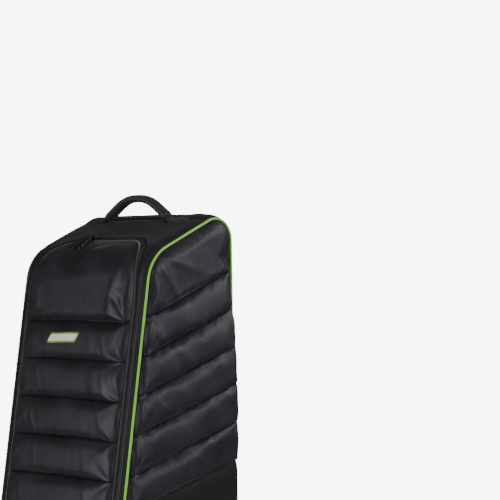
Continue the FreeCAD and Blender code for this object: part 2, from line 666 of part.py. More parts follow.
def make_wheel_housing(side, sign):
    """A half-round well sunk in the tray's rear corner; its cheeks carry the axle."""
    middle = f"{sign} * wheel_x"
    outer = cylinder_x(f"{side}_housing_outer", "housing_radius", f"{middle} - housing_half",
                       f"{middle} + housing_half", "wheel_y", "wheel_radius")
    room = "( housing_half - housing_wall )"
    inner = cylinder_x(f"{side}_housing_inner", "housing_radius - housing_wall", f"{middle} - {room}",
                       f"{middle} + {room}", "wheel_y", "wheel_radius")
    kept = box(f"{side}_housing_cell", f"{middle} - wheel_x", f"{middle} + wheel_x",
               "wheel_y - 2 * housing_radius", "back_y", "tray_foot_z", "3 * housing_radius")
    bore = cylinder_x(f"{side}_housing_bore", "axle_radius + axle_fit", f"{middle} - 2 * housing_half",
                      f"{middle} + 2 * housing_half", "wheel_y", "wheel_radius")
    trimmed = common(f"{side}_housing_trimmed", outer, kept)
    node(cut(f"{side}_wheel_housing", trimmed, inner, bore), f"{side}_wheel_housing")


def ring_x(name, radius, bore, x0, x1):
    solid = cylinder_x(name + "_solid", radius, x0, x1, "wheel_y", "wheel_radius")
    hole = cylinder_x(name + "_hole", bore, f"{x0} - seam_gap", f"{x1} + seam_gap", "wheel_y", "wheel_radius")
    return cut(name, solid, hole)


def make_wheel(side, sign):
    middle = f"{sign} * wheel_x"
    tyre = doc.addObject("PartDesign::Body", f"{side}_tyre_body")
    section = body_sketch(
        tyre, f"{side}_tyre_section", "XZ_Plane",
        rectangle("0 - wheel_half", "wheel_half", "hub_radius", "wheel_radius"),
        {2: "tyre_round", 3: "tyre_round"})
    turn = tyre.newObject("PartDesign::Revolution", f"{side}_tyre_turn")
    turn.Profile = section
    turn.ReferenceAxis = (section, ["H_Axis"])
    turn.Angle = 360
    place(tyre, middle, "wheel_y", "wheel_radius")
    node(tyre, f"{side}_tyre")

    hub = cylinder_x(f"{side}_hub_blank", "hub_radius", f"{middle} - wheel_half", f"{middle} + wheel_half",
                     "wheel_y", "wheel_radius")
    bore = cylinder_x(f"{side}_hub_bore", "hub_bore", f"{middle} - 2 * wheel_half",
                      f"{middle} + 2 * wheel_half", "wheel_y", "wheel_radius")
    seats, rings = [], []
    for end, face in (("inner", -1), ("outer", 1)):
        near = f"{middle} - wheel_half" if face < 0 else f"{middle} + wheel_half - bearing_width"
        far = f"{middle} - wheel_half + bearing_width" if face < 0 else f"{middle} + wheel_half"
        seats.append(cylinder_x(f"{side}_{end}_seat", "bearing_radius", near, far, "wheel_y", "wheel_radius"))
        rings.append(ring_x(f"{side}_{end}_bearing", "bearing_radius", "axle_radius + axle_fit", near, far))
    node(cut(f"{side}_hub", hub, bore, *seats), f"{side}_hub")
    node(group(f"{side}_bearings", rings), f"{side}_bearings")


def make_axle(side, sign):
    """A plain pin with a flat head outside each cheek of its housing."""
    middle = f"{sign} * wheel_x"
    pin = cylinder_x(f"{side}_axle_pin", "axle_radius", f"{middle} - axle_half", f"{middle} + axle_half",
                     "wheel_y", "wheel_radius")
    heads = []
    for end, face in (("inner", -1), ("outer", 1)):
        near = f"{middle} + {face} * ( housing_half + seam_gap )"
        far = f"{middle} + {face} * axle_half"
        low, high = (near, far) if face > 0 else (far, near)
        heads.append(cylinder_x(f"{side}_{end}_axle_head", "axle_head", low, high, "wheel_y", "wheel_radius"))
    node(fuse(f"{side}_axle", [pin] + heads), f"{side}_axle")


def make_feet():
    feet, screws = [], []
    for side, sign in SIDES:
        foot = doc.addObject("PartDesign::Body", f"{side}_foot_body")
        plan = body_sketch(
            foot, f"{side}_foot_plan", "XY_Plane",
            rectangle("0 - foot_length / 2", "foot_length / 2", "0 - foot_width / 2", "foot_width / 2"),
            {i: "foot_round" for i in range(4)})
        pad = foot.newObject("PartDesign::Pad", f"{side}_foot_pad")
        pad.Profile = plan
        bind(pad, Length="tray_foot_z")
        place(foot, f"{sign} * foot_x", "foot_y", "0")
        hole = cylinder_z(f"{side}_foot_bore", "screw_radius + axle_fit", f"{sign} * foot_x", "foot_y",
                          "screw_head", "2 * tray_foot_z")
        feet.append(cut(f"{side}_foot", foot, hole))
        shank = cylinder_z(f"{side}_screw_shank", "screw_radius", f"{sign} * foot_x", "foot_y",
                           "2 * screw_head", "tray_foot_z + tray_floor + screw_head_tall / 2")
        head = cylinder_z(f"{side}_screw_head", "screw_head", f"{sign} * foot_x", "foot_y",
                          "tray_foot_z + tray_floor", "tray_foot_z + tray_floor + screw_head_tall")
        screws.append(fuse(f"{side}_foot_screw", [shank, head]))
    node(group("front_feet", feet), "front_feet")
    node(group("foot_screws", screws), "foot_screws")


def make_rivets():
    """Two-sided rivets that clamp the fabric's hem to the tray wall."""
    rivets = []
    for side, sign in SIDES:
        for index in range(RIVETS_PER_SIDE):
            y = f"tray_front_y + {index + 1} * rivet_pitch"
            face = f"{sign} * tray_half"
            pair = []
            for part, radius, end in (("head", "rivet_head", f"{face} + {sign} * rivet_proud"),
                                      ("shank", "rivet_shank", f"{face} - {sign} * rivet_grip")):
                low, high = sorted((face, end), key=number)
                pair.append(cylinder_x(f"{side}_rivet_{part}_{index}", radius, low, high, y, "rivet_z"))
            rivets.append(fuse(f"{side}_rivet_{index}", pair))
    node(group("tray_rivets", rivets), "tray_rivets")


# ---- inside -------------------------------------------------------------------------------------

def make_inside():
    node(box("back_board", "0 - board_half", "board_half", "board_in_y", "board_out_y",
             "board_foot_z", "board_top_z"), "back_board")
    pad_half = "tray_half - 3 * tray_wall"
    pad = box("floor_pad_blank", f"0 - ( {pad_half} )", pad_half, "tray_front_y + 3 * tray_wall",
              "floor_pad_back_y", "tray_foot_z + tray_floor + seam_gap",
              "tray_foot_z + tray_floor + floor_pad_thick")
    clears = [cylinder_z(f"{side}_pad_clearance", "screw_head + 2 * seam_gap", f"{sign} * foot_x", "foot_y",
                         "tray_foot_z", "tray_foot_z + tray_floor + screw_head_tall + seam_gap")
              for side, sign in SIDES]
    node(cut("floor_pad", pad, *clears), "floor_pad")
    cell = box("crown_cell", "seam_gap - side_in", "side_in - seam_gap", "front_corner_y + half_width / 2",
               "back_skin_y", "front_corner_z", "2 * back_corner_z")
    node(common("crown_pad", skin("crown_skin", "pad_in", "pad_out"), cell), "crown_pad")


def make_club_strap(level):
    """Webbing from both edges of the back board to a side-release buckle in the middle."""
    middle = f"{level}_strap_z"
    low, high = f"{middle} - strap_wide / 2", f"{middle} + strap_wide / 2"
    ends, rivets = [], []
    for side, sign in SIDES:
        outer, inner = f"{sign} * strap_end_x", f"{sign} * ( buckle_end_x - buckle_mouth )"
        x0, x1 = (inner, outer) if sign > 0 else (outer, inner)
        ends.append(box(f"{level}_{side}_strap", x0, x1, "strap_y", "strap_y + strap_thick", low, high))
        for row, step in (("upper", 1), ("lower", -1)):
            rivet = doc.addObject("Part::Cylinder", f"{level}_{side}_{row}_strap_rivet")
            bind(rivet, Radius="rivet_shank", Height="board_in_y - strap_y")
            place(rivet, f"{sign} * ( strap_end_x - strap_rivet_inset )", "board_in_y",
                  f"{middle} + {step} * strap_wide / 4", FreeCAD.Rotation(X_AXIS, 90))
            rivets.append(rivet)
    bored = [cut(f"{level}_strap_bored", end, *rivets[i * 2:i * 2 + 2]) for i, end in enumerate(ends)]
    node(group(f"{level}_strap", bored), f"{level}_strap")
    for half, x0, x1 in (("socket", "0 - buckle_end_x", "0"), ("plug", "seam_gap", "buckle_end_x")):
        body = doc.addObject("PartDesign::Body", f"{level}_buckle_{half}_body")
        face = body_sketch(
            body, f"{level}_buckle_{half}_face", "XZ_Plane",
            rectangle(x0, x1, "0 - buckle_tall / 2", "buckle_tall / 2"),
            {corner: "buckle_round" for corner in ((0, 3) if half == "socket" else (1, 2))})
        pad = body.newObject("PartDesign::Pad", f"{level}_buckle_{half}_pad")
        pad.Profile = face
        bind(pad, Length="buckle_thick")
        place(body, "0", "board_in_y - seam_gap", middle)
        slot = box(f"{level}_{half}_slot", "0 - strap_end_x", "strap_end_x", "strap_y - axle_fit",
                   "strap_y + strap_thick + axle_fit", f"{low} - axle_fit", f"{high} + axle_fit")
        core = "buckle_end_x - buckle_mouth - seam_gap"
        bar = box(f"{level}_{half}_bar", f"0 - ( {core} )", core, "0", "2 * back_y", low, high)
        mouth = cut(f"{level}_{half}_mouth", slot, bar)
        node(cut(f"{level}_buckle_{half}", body, mouth), f"{level}_buckle_{half}")
    return rivets


make_front_border()
make_yoke_and_back()
make_lower_front()
make_zipper()
make_lid()
make_handle()
make_anchors()
make_tray()
make_feet()
make_rivets()
make_inside()
strap_rivets = make_club_strap("upper") + make_club_strap("lower")
node(group("strap_rivets", strap_rivets), "strap_rivets")
for side, sign in SIDES:
    make_side(side, sign)
    make_piping(side, sign)
    make_wheel_housing(side, sign)
    make_wheel(side, sign)
    make_axle(side, sign)
    make_slider(side, f"{side}_slider_x")
    make_pull(side, f"{side}_slider_x")

doc.recompute()

# ---- checks and export --------------------------------------------------------------------------

for item in doc.Objects:
    if "Invalid" in item.State or "Error" in item.State:
        raise RuntimeError(f"{item.Name} failed: {item.State}")
os.makedirs("parts", exist_ok=True)
for item in nodes:
    shape = item.Shape
    if shape.isNull() or not shape.isValid() or not shape.Solids:
        raise RuntimeError(f"{item.Label} has no valid solid")
    print(f"{item.Label:26s} {len(shape.Solids):3d} solids {shape.Volume / 1000:9.2f} cm3", shape.BoundBox)
    shape.exportStep(f"parts/{item.Label}.step")
print(len(nodes), "nodes")
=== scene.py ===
# The look of a wheeled soft golf travel case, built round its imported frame.
# Metres, +Z up, the zipped front towards -Y.  The case's fabric follows one side outline, up the front,
# over the top and down the back: places on it are given as x across, s along the outline from the foot
# of the front, and d outside it.
import bmesh
import bpy
import json
import math
from collections import namedtuple

import numpy as np
from mathutils import Matrix, Vector


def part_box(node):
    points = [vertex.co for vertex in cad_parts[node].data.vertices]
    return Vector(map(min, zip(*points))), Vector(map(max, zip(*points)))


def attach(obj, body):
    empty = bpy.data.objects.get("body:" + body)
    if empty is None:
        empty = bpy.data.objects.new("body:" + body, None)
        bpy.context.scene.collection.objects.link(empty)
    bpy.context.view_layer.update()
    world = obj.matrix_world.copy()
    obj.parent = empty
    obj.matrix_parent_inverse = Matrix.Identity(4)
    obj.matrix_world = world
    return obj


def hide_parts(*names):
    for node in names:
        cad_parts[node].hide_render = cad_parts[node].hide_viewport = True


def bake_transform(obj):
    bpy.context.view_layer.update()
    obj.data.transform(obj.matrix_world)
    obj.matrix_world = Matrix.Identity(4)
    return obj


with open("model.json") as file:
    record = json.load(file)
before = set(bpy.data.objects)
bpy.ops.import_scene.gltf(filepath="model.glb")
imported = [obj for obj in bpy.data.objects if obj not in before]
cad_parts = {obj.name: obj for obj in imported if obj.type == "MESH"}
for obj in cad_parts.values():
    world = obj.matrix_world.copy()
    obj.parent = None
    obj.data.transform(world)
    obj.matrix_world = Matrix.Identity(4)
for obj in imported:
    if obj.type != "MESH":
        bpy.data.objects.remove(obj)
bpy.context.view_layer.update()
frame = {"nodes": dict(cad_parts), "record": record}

# ---- sizes ---------------------------------------------------------------------------------------

PIPING_X = 0.1895                  # the pipings' centres, either side
EDGE_X = 0.1865                    # the front, top and back fabric ends here
FOOT_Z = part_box("back_panel")[0].z
HINGE_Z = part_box("lid_panel")[0].z
YOKE_FOOT_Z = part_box("top_yoke")[0].z
YOKE_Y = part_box("top_yoke")[0].y   # the cross seam between the front border and the yoke
BROW, CROWN = (-0.039, 1.202), (0.184, 1.300)      # the outline's two upper corners, as (y, z)
CORNERS = ((-0.176, FOOT_Z), (-0.176, 0.367), BROW, CROWN, (CROWN[0], FOOT_Z))
ROUNDS = (0.600, 0.085, 0.045)
SLOPE = math.atan2(CROWN[1] - BROW[1], CROWN[0] - BROW[0])
ZIP_TILT = math.radians(40)        # the zipper's U is drawn in a plane tilted by this
ZIP_HALF, ZIP_TOP = 0.172, 0.810   # the U's half width, and its top run's height in that plane
ZIP_ROUND, ZIP_RISE = 0.095, 0.150  # the U's corners, across and up
CHAIN_D = 0.0065                   # the zipper chain's middle, outside the outline
LID_INSET = 0.011                  # chain middle to the quilted lid's edge
LID_HALF, LID_TOP = ZIP_HALF - LID_INSET, ZIP_TOP - LID_INSET
QUILT_PITCH = 0.0767               # from seam to seam, on the lid and on the sides
LID_SEAM_Z = 1.071                 # the lid's highest seam
SIDE_SEAM_FRONT_Z = 1.083          # a side's highest diagonal seam, front and back
SIDE_SEAM_BACK_Z = 1.174
SIDE_CHANNELS = 5
SIDE_DEPTH, ROOF_HEIGHT = 0.32, 0.15   # a side's rough depth, and its height above the highest seam
SIDE_X = 0.1876                    # where the side fabric is sewn in, and the lining inside it
SIDE_LINING_X = 0.1802
LINING_D = -0.0025                 # the front's, top's and back's lining
SIDE_LIMIT = 0.2135                # no side stands out further than this
SIDES = (("left", -1), ("right", 1))
ACROSS = np.array((1.0, 0, 0))


def unit(v):
    return v / np.linalg.norm(v)


def travel(places):
    """The direction of travel at each place of a path."""
    ways = np.gradient(places, axis=0)
    return ways / np.linalg.norm(ways, axis=1)[:, None]


def lengths(places):
    """The distance along a path at each of its places."""
    return np.r_[0, np.cumsum(np.linalg.norm(np.diff(places, axis=0), axis=1))]


def full_turn(count):
    """Angles evenly spaced round a circle."""
    return np.arange(count) * 2 * math.pi / count


def smooth(t):
    """0 to 1 with a soft start and end, as t goes from 0 to 1."""
    t = np.clip(t, 0, 1)
    return t * t * (3 - 2 * t)


def ripple(t, pitch, seed):
    """A smooth random wave of about -1 to 1 along t, whose swings are about pitch long."""
    knots = np.random.default_rng(seed).uniform(-1, 1, 512)
    place = np.asarray(t, float) / pitch + 128
    low = np.floor(place).astype(int)
    share = smooth(place - low)
    return knots[low % 512] * (1 - share) + knots[(low + 1) % 512] * share


# ---- the side outline ------------------------------------------------------------------------------

def rounded(corners, radii, step=0.002):
    """Points along straight runs joined by arcs, and the direction of travel at each."""
    corners = [np.array(c, float) for c in corners]
    places, ways = [], []

    def straight(start, end, way):
        count = max(1, int(np.linalg.norm(end - start) / step))
        for i in range(count):
            places.append(start + (end - start) * i / count)
            ways.append(way)

    here = corners[0]
    for before, corner, after, radius in zip(corners, corners[1:], corners[2:], radii):
        way_in, way_out = unit(corner - before), unit(after - corner)
        cross = way_in[0] * way_out[1] - way_in[1] * way_out[0]
        turn = math.atan2(cross, way_in @ way_out)
        reach = radius * math.tan(abs(turn) / 2)
        start = corner - way_in * reach
        straight(here, start, way_in)
        centre = start + math.copysign(radius, turn) * np.array((-way_in[1], way_in[0]))
        count = max(3, int(abs(turn) * radius / step))
        for i in range(count):
            c, s = math.cos(turn * i / count), math.sin(turn * i / count)
            spin = np.array(((c, -s), (s, c)))
            places.append(centre + spin @ (start - centre))
            ways.append(spin @ way_in)
        here = corner + way_out * reach
    straight(here, corners[-1], unit(corners[-1] - here))
    places.append(corners[-1])
    ways.append(ways[-1])
    places = np.array(places)
    return places, np.array(ways), lengths(places)


LINE, WAY, ALONG = rounded(CORNERS, ROUNDS)
OUT = np.stack((-WAY[:, 1], WAY[:, 0]), axis=1)
CREST = int(np.argmax(LINE[:, 1]))
CHAIN_LINE = LINE + OUT * CHAIN_D
CHAIN_Q = CHAIN_LINE @ np.array((math.cos(ZIP_TILT), math.sin(ZIP_TILT)))


def skin(x, s, d):
    """Points on the case at x across, s along the outline and d outside it."""
    x, s, d = np.broadcast_arrays(x, s, d)
    y, z = (np.interp(s, ALONG, LINE[:, i]) for i in (0, 1))
    ny, nz = (np.interp(s, ALONG, OUT[:, i]) for i in (0, 1))
    return np.stack((x, y + ny * d, z + nz * d), axis=-1)


# s at a height on the front or the back, at a y on the slope, or at q up the zipper's tilted plane
def s_front(z):
    return np.interp(z, LINE[:CREST, 1], ALONG[:CREST])


def s_back(z):
    return np.interp(z, LINE[CREST:, 1][::-1], ALONG[CREST:][::-1])


def s_slope(y):
    start = int(np.argmax(LINE[:, 1] > SIDE_SEAM_FRONT_Z))
    return np.interp(y, LINE[start:CREST, 0], ALONG[start:CREST])


def s_of_q(q):
    return np.interp(q, CHAIN_Q[:CREST], ALONG[:CREST])


def q_of_s(s):
    return np.interp(s, ALONG, CHAIN_Q)


YOKE_S = s_slope(YOKE_Y)
HINGE_S = s_front(HINGE_Z)


def crown(x):
    """How far the padded front and top stand out between the pipings."""
    across = np.abs(np.asarray(x) / EDGE_X)
    return 0.0012 + 0.0070 * (1 - across ** 26) + 0.0028 * (1 - across ** 2.5)


def cross_seam(x, s):
    """The valley of the seam between the front border and the yoke."""
    return 0.0022 * np.exp(-((s - YOKE_S) / 0.004) ** 2) * smooth((EDGE_X - np.abs(x)) / 0.014)


# ---- meshes ----------------------------------------------------------------------------------------

def mesh_piece(name, shape, mats, face_mats=None, uv=None, body=None, slot=None, levels=0, flat=False):
    """A mesh object from a shape's vertices and faces, with its materials, riding on a body."""
    verts, faces = shape
    mesh = bpy.data.meshes.new(name)
    mesh.from_pydata(np.asarray(verts, float).tolist(), [], [list(f) for f in faces])
    for mat in mats:
        mesh.materials.append(mat)
    if face_mats is not None:
        mesh.polygons.foreach_set("material_index", np.asarray(face_mats, np.int32))
    if uv is not None:
        layer = mesh.uv_layers.new(name="UVMap")
        corner_vertex = np.empty(len(mesh.loops), np.int32)
        mesh.loops.foreach_get("vertex_index", corner_vertex)
        layer.data.foreach_set("uv", np.asarray(uv, np.float32)[corner_vertex].ravel())
    mesh.validate()
    bm = bmesh.new()
    bm.from_mesh(mesh)
    bmesh.ops.recalc_face_normals(bm, faces=bm.faces)
    bm.to_mesh(mesh)
    bm.free()
    mesh.polygons.foreach_set("use_smooth", [not flat] * len(mesh.polygons))
    piece = bpy.data.objects.new(name, mesh)
    bpy.context.collection.objects.link(piece)
    if levels:
        rounder = piece.modifiers.new("Subdivision", "SUBSURF")
        rounder.levels = rounder.render_levels = levels
    if body:
        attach(piece, body)
    return piece


def grid_faces(rows, cols, offset=0, wrap_rows=False, wrap_cols=False):
    index = np.arange(rows * cols).reshape(rows, cols) + offset
    if wrap_rows:
        index = np.concatenate((index, index[:1]))
    if wrap_cols:
        index = np.concatenate((index, index[:, :1]), axis=1)
    return np.stack((index[:-1, :-1], index[:-1, 1:], index[1:, 1:], index[1:, :-1]), axis=-1).reshape(-1, 4)


def rim_of(rows, cols):
    """The grid's border vertices in order."""
    index = np.arange(rows * cols).reshape(rows, cols)
    return np.concatenate((index[0, :-1], index[:-1, -1], index[-1, :0:-1], index[:0:-1, 0]))


def panel(name, outer, inner, mats, uv, body, slot, levels=1, corners=()):
    """A closed padded panel from the grid of its outer face and the grid of its inner one."""
    rows, cols = outer.shape[:2]
    count = rows * cols
    front = grid_faces(rows, cols)
    back = grid_faces(rows, cols, count)[:, ::-1]
    rim = rim_of(rows, cols)
    after = np.roll(rim, -1)
    edge = np.stack((after, rim, rim + count, after + count), axis=-1)
    verts = np.concatenate((outer.reshape(-1, 3), inner.reshape(-1, 3)))
    faces = np.concatenate((front, back, edge))
    face_mats = [0] * len(front) + [len(mats) - 1] * len(back) + [0] * len(edge)
    flat_uv = np.tile(uv.reshape(-1, 2), (2, 1))
    made = mesh_piece(name, (verts, faces), mats, face_mats, flat_uv, body, slot, levels)
    # the corners stay square when the panel is subdivided, so that neighbours close up
    sharp = made.data.attributes.new("crease_vert", "FLOAT", "POINT")
    for corner in (0, cols - 1, count - cols, count - 1, *corners):
        sharp.data[corner].value = 1.0
        sharp.data[corner + count].value = 1.0
    return made


def strip(rings, closed=False):
    """Vertices and faces of a solid whose cross-sections are the given rings of points."""
    count, sides = rings.shape[:2]
    faces = grid_faces(count, sides, wrap_rows=closed, wrap_cols=True).tolist()
    if not closed:
        faces.append(list(range(sides)))
        faces.append(list(range((count - 1) * sides, count * sides))[::-1])
    return rings.reshape(-1, 3), faces


def strip_uv(rings):
    """Distance round a strip's section and along it, for each vertex."""
    u, v = np.meshgrid(lengths(rings[len(rings) // 2]), lengths(rings.mean(axis=1)))
    return np.stack((u, v), axis=-1).reshape(-1, 2)


def ring_piece(name, rings, mat, **placing):
    """A solid piece whose cross-sections are the given rings."""
    return mesh_piece(name, strip(rings), [mat], uv=strip_uv(rings), **placing)


def joined(parts):
    """One list of vertices and faces from several."""
    verts, faces, start = [], [], 0
    for some_verts, some_faces in parts:
        verts.append(np.asarray(some_verts))
        faces += [[i + start for i in face] for face in some_faces]
        start += len(some_verts)
    return np.concatenate(verts), faces


def tube_rings(places, ways, side, section):
    """Rings of a section of (out, side) offsets carried along a path."""
    side = np.broadcast_to(side, places.shape)
    out = np.cross(ways, side)
    out /= np.linalg.norm(out, axis=1)[:, None]
    section = np.asarray(section)
    return places[:, None] + out[:, None] * section[None, :, :1] + side[:, None] * section[None, :, 1:]


def thickened(places, rings, scale):
    """The rings made larger or smaller about their places."""
    return places[:, None] + (rings - places[:, None]) * scale[:, None, None]


def oval(out, side, count=16, power=1.0):
    """A section with half sizes out and side; power under 1 squares it off."""
    c, s = np.cos(full_turn(count)), np.sin(full_turn(count))
    return np.stack((out * np.sign(c) * np.abs(c) ** power, side * np.sign(s) * np.abs(s) ** power), axis=1)


# ---- cloth -----------------------------------------------------------------------------------------

def settle(name, grid, held, push, growth, stiffness, frames=16, cap=0.004):
    """Blow a sheet out against its stitched lines with a cloth simulation, and return the settled grid.
    held is the grid's pin weights; no point moves further than cap."""
    rows, cols = grid.shape[:2]
    mesh = bpy.data.meshes.new(name + "_sheet")
    mesh.from_pydata(grid.reshape(-1, 3).tolist(), [], grid_faces(rows, cols).tolist())
    mesh.update()
    sheet = bpy.data.objects.new(name + "_sheet", mesh)
    bpy.context.collection.objects.link(sheet)
    pins = sheet.vertex_groups.new(name="pins")
    weights = held.reshape(-1)
    for weight in np.unique(weights[weights > 0]):
        pins.add([int(i) for i in np.nonzero(weights == weight)[0]], float(weight), "REPLACE")
    cloth = sheet.modifiers.new("Cloth", "CLOTH")
    cloth.settings.quality = 4
    cloth.settings.mass = 0.12
    cloth.settings.tension_stiffness = cloth.settings.compression_stiffness = 12
    cloth.settings.shear_stiffness = 4
    cloth.settings.bending_stiffness = stiffness
    cloth.settings.air_damping = 2
    cloth.settings.vertex_group_mass = "pins"
    cloth.settings.shrink_min = -growth
    cloth.settings.use_pressure = True
    cloth.settings.uniform_pressure_force = push
    cloth.settings.effector_weights.gravity = 0
    cloth.collision_settings.use_collision = False
    cloth.point_cache.frame_start, cloth.point_cache.frame_end = 1, frames
    scene = bpy.context.scene
    for step in range(1, frames + 1):
        scene.frame_set(step)
    shaped = sheet.evaluated_get(bpy.context.evaluated_depsgraph_get()).data
    points = np.empty(len(shaped.vertices) * 3)
    shaped.vertices.foreach_get("co", points)
    scene.frame_set(1)
    bpy.data.objects.remove(sheet)
    bpy.data.meshes.remove(mesh)
    shift = points.reshape(grid.shape) - grid
    size = np.linalg.norm(shift, axis=-1, keepdims=True)
    return grid + shift * np.minimum(1, cap / np.maximum(size, 1e-9))


def edge_pins(rows, cols, *seam_rows):
    """Pin weights that hold a sheet's border and its seams."""
    held = np.zeros((rows, cols))
    held[[0, -1]] = 1
    held[:, [0, -1]] = 1
    for row in seam_rows:
        held[row] = 1
    return held


# ---- materials -------------------------------------------------------------------------------------

class Shader:
    """A Principled material and short calls for the nodes that feed it."""

    def __init__(self, name, **plain):
        self.mat = bpy.data.materials.new(name)
        self.mat.use_nodes = True
        self.tree = self.mat.node_tree
        self.surface = self.tree.nodes["Principled BSDF"]
        for socket, value in plain.items():
            self.surface.inputs[socket.replace("_", " ")].default_value = value

    def node(self, kind, inputs=(), **settings):
        made = self.tree.nodes.new("ShaderNode" + kind)
        for key, value in settings.items():
            setattr(made, key, value)
        for socket, value in dict(inputs).items():
            if isinstance(value, bpy.types.NodeSocket):
                self.tree.links.new(value, made.inputs[socket])
            else:
                made.inputs[socket].default_value = value
        return made.outputs

    def math(self, operation, a, b=0.0):
        return self.node("Math", {0: a, 1: b}, operation=operation)[0]

    def noise(self, scale, detail=3.0, place=None):
        place = place or self.node("TexCoord")["Object"]
        return self.node("TexNoise", {"Vector": place, "Scale": scale, "Detail": detail})["Fac"]

    def span(self, value, low, high, start=0.3, end=0.7):
        """The value stretched from start..end to low..high."""
        return self.node("MapRange", {"Value": value, "From Min": start, "From Max": end,
                                      "To Min": low, "To Max": high})[0]

    def shade(self, value, dark, light, start=0.3, end=0.7):
        part = self.span(value, 0.0, 1.0, start, end)
        mixed = self.node("Mix", {0: part, 6: (*dark, 1), 7: (*light, 1)}, data_type="RGBA")
        self.tree.links.new(mixed[2], self.surface.inputs["Base Color"])

    def rough(self, value, low, high):
        self.tree.links.new(self.span(value, low, high), self.surface.inputs["Roughness"])

    def relief(self, height, depth, strength=1.0):
        """Add a bump of the given depth in metres, under those already there."""
        socket = self.surface.inputs["Normal"]
        under = socket.links[0].from_socket if socket.links else None
        inputs = {"Height": height, "Distance": depth, "Strength": strength}
        if under:
            inputs["Normal"] = under
        self.tree.links.new(self.node("Bump", inputs)["Normal"], socket)

    def uv(self):
        parts = self.node("SeparateXYZ", {0: self.node("UVMap", uv_map="UVMap")[0]})
        return parts[0], parts[1]

    def wave(self, value, pitch):
        """0 at each multiple of the pitch, 1 half-way between."""
        return self.math("ABSOLUTE", self.math("SINE", self.math("MULTIPLY", value, math.pi / pitch)))


def woven(name, dark, light, check=0.003, yarn=0.0007, depth=0.00012, rough=(0.42, 0.55), **plain):
    """Fabric: a raised check, fine yarns, uneven dye and faint handling creases."""
    cloth = Shader(name, **plain)
    u, v = cloth.uv()
    squares = cloth.math("MINIMUM", cloth.wave(u, check), cloth.wave(v, check))
    yarns = cloth.math("MAXIMUM", cloth.wave(u, yarn), cloth.wave(v, yarn))
    patches = cloth.noise(14.0, 4.0)
    creases = cloth.noise(38.0, 5.0)
    cloth.relief(creases, 0.0012, 0.35)
    cloth.relief(yarns, depth * 0.4, 0.6)
    cloth.relief(squares, depth, 0.8)
    tone = cloth.math("ADD", cloth.math("MULTIPLY", squares, 0.25), patches)
    cloth.shade(tone, dark, light, 0.35, 0.95)
    cloth.rough(patches, *rough)
    return cloth.mat


def webbing(name, dark, light, rib=0.0016):
    """Flat woven tape: ribs across it and yarns along it."""
    tape = Shader(name, Sheen_Weight=0.25, Sheen_Roughness=0.5)
    u, v = tape.uv()
    ribs = tape.wave(v, rib)
    yarns = tape.wave(u, rib * 0.8)
    tape.relief(tape.math("MULTIPLY", ribs, yarns), 0.00025, 0.8)
    tape.shade(tape.math("ADD", tape.math("MULTIPLY", ribs, 0.5), tape.noise(60.0)), dark, light, 0.3, 1.2)
    tape.rough(tape.noise(40.0), 0.6, 0.75)
    return tape.mat


def moulded(name, dark, light, rough=(0.4, 0.55), grain=900.0, depth=0.00008):
    """Moulded plastic or rubber: fine spark grain and rubbed patches."""
    part = Shader(name)
    patches = part.noise(25.0, 4.0)
    part.relief(part.noise(grain, 2.0), depth, 0.6)
    part.shade(patches, dark, light)
    part.rough(patches, *rough)
    return part.mat


def metal(name, dark, light, rough=(0.18, 0.35)):
    """Plated or painted metal with faint marks."""
    part = Shader(name, Metallic=1.0)
    marks = part.noise(180.0, 4.0)
    part.relief(marks, 0.00006, 0.5)
    part.shade(marks, dark, light)
    part.rough(marks, *rough)
    return part.mat


def foam_stuff(name, dark, light):
    """Open foam with small cells."""
    foam = Shader(name)
    cells = foam.node("TexVoronoi", {"Vector": foam.node("TexCoord")["Object"], "Scale": 420.0})["Distance"]
    foam.relief(cells, 0.0004, 0.7)
    foam.shade(cells, dark, light, 0.0, 0.8)
    foam.rough(foam.noise(30.0), 0.8, 0.95)
    return foam.mat


NYLON = woven("shell_nylon", (0.009, 0.0086, 0.0114), (0.018, 0.0172, 0.0228), Specular_IOR_Level=0.42,
              Specular_Tint=(0.94, 0.91, 1.0, 1), Sheen_Weight=0.06, Sheen_Roughness=0.35)
LOWER = woven("lower_nylon", (0.006, 0.0053, 0.0048), (0.012, 0.0107, 0.0096), check=0.0016,
              depth=0.00016, rough=(0.62, 0.78), Specular_IOR_Level=0.26)
LINING = woven("lining_cloth", (0.03, 0.03, 0.034), (0.05, 0.05, 0.056), check=0.0012, depth=0.00008)
GRIP_CLOTH = woven("grip_cloth", (0.011, 0.011, 0.011), (0.02, 0.02, 0.02), check=0.0014,
                   rough=(0.5, 0.65), Sheen_Weight=0.1)
PIPING = moulded("piping_cover", (0.23, 0.62, 0.05), (0.32, 0.76, 0.09), (0.42, 0.55), 700.0, 0.0001)
TAPE = webbing("zipper_tape", (0.007, 0.0065, 0.006), (0.014, 0.013, 0.012), 0.0009)
BINDING = webbing("binding_tape", (0.018, 0.018, 0.020), (0.04, 0.04, 0.044), 0.0010)
WEBBING = webbing("webbing", (0.010, 0.010, 0.010), (0.022, 0.022, 0.022), 0.0017)
COIL = moulded("zipper_coil", (0.008, 0.008, 0.008), (0.02, 0.02, 0.02), (0.3, 0.45), 500.0, 0.00004)
SLIDER = metal("slider_enamel", (0.05, 0.05, 0.055), (0.11, 0.11, 0.12))
PULL_WEAVE = moulded("pull_weave", (0.008, 0.008, 0.009), (0.018, 0.018, 0.020), (0.30, 0.45), 900.0, 0.00012)
PULL = moulded("pull_rubber", (0.006, 0.006, 0.007), (0.014, 0.014, 0.016), (0.22, 0.38), 600.0, 0.00005)
BADGE = moulded("badge_face", (0.84, 0.88, 0.78), (0.90, 0.93, 0.86), (0.35, 0.45), 500.0, 0.00003)
BADGE_RIM = moulded("badge_rim", (0.16, 0.30, 0.035), (0.24, 0.40, 0.06), (0.35, 0.45), 500.0, 0.00003)
THREAD = moulded("thread", (0.02, 0.02, 0.022), (0.045, 0.045, 0.05), (0.5, 0.65), 1500.0, 0.00005)
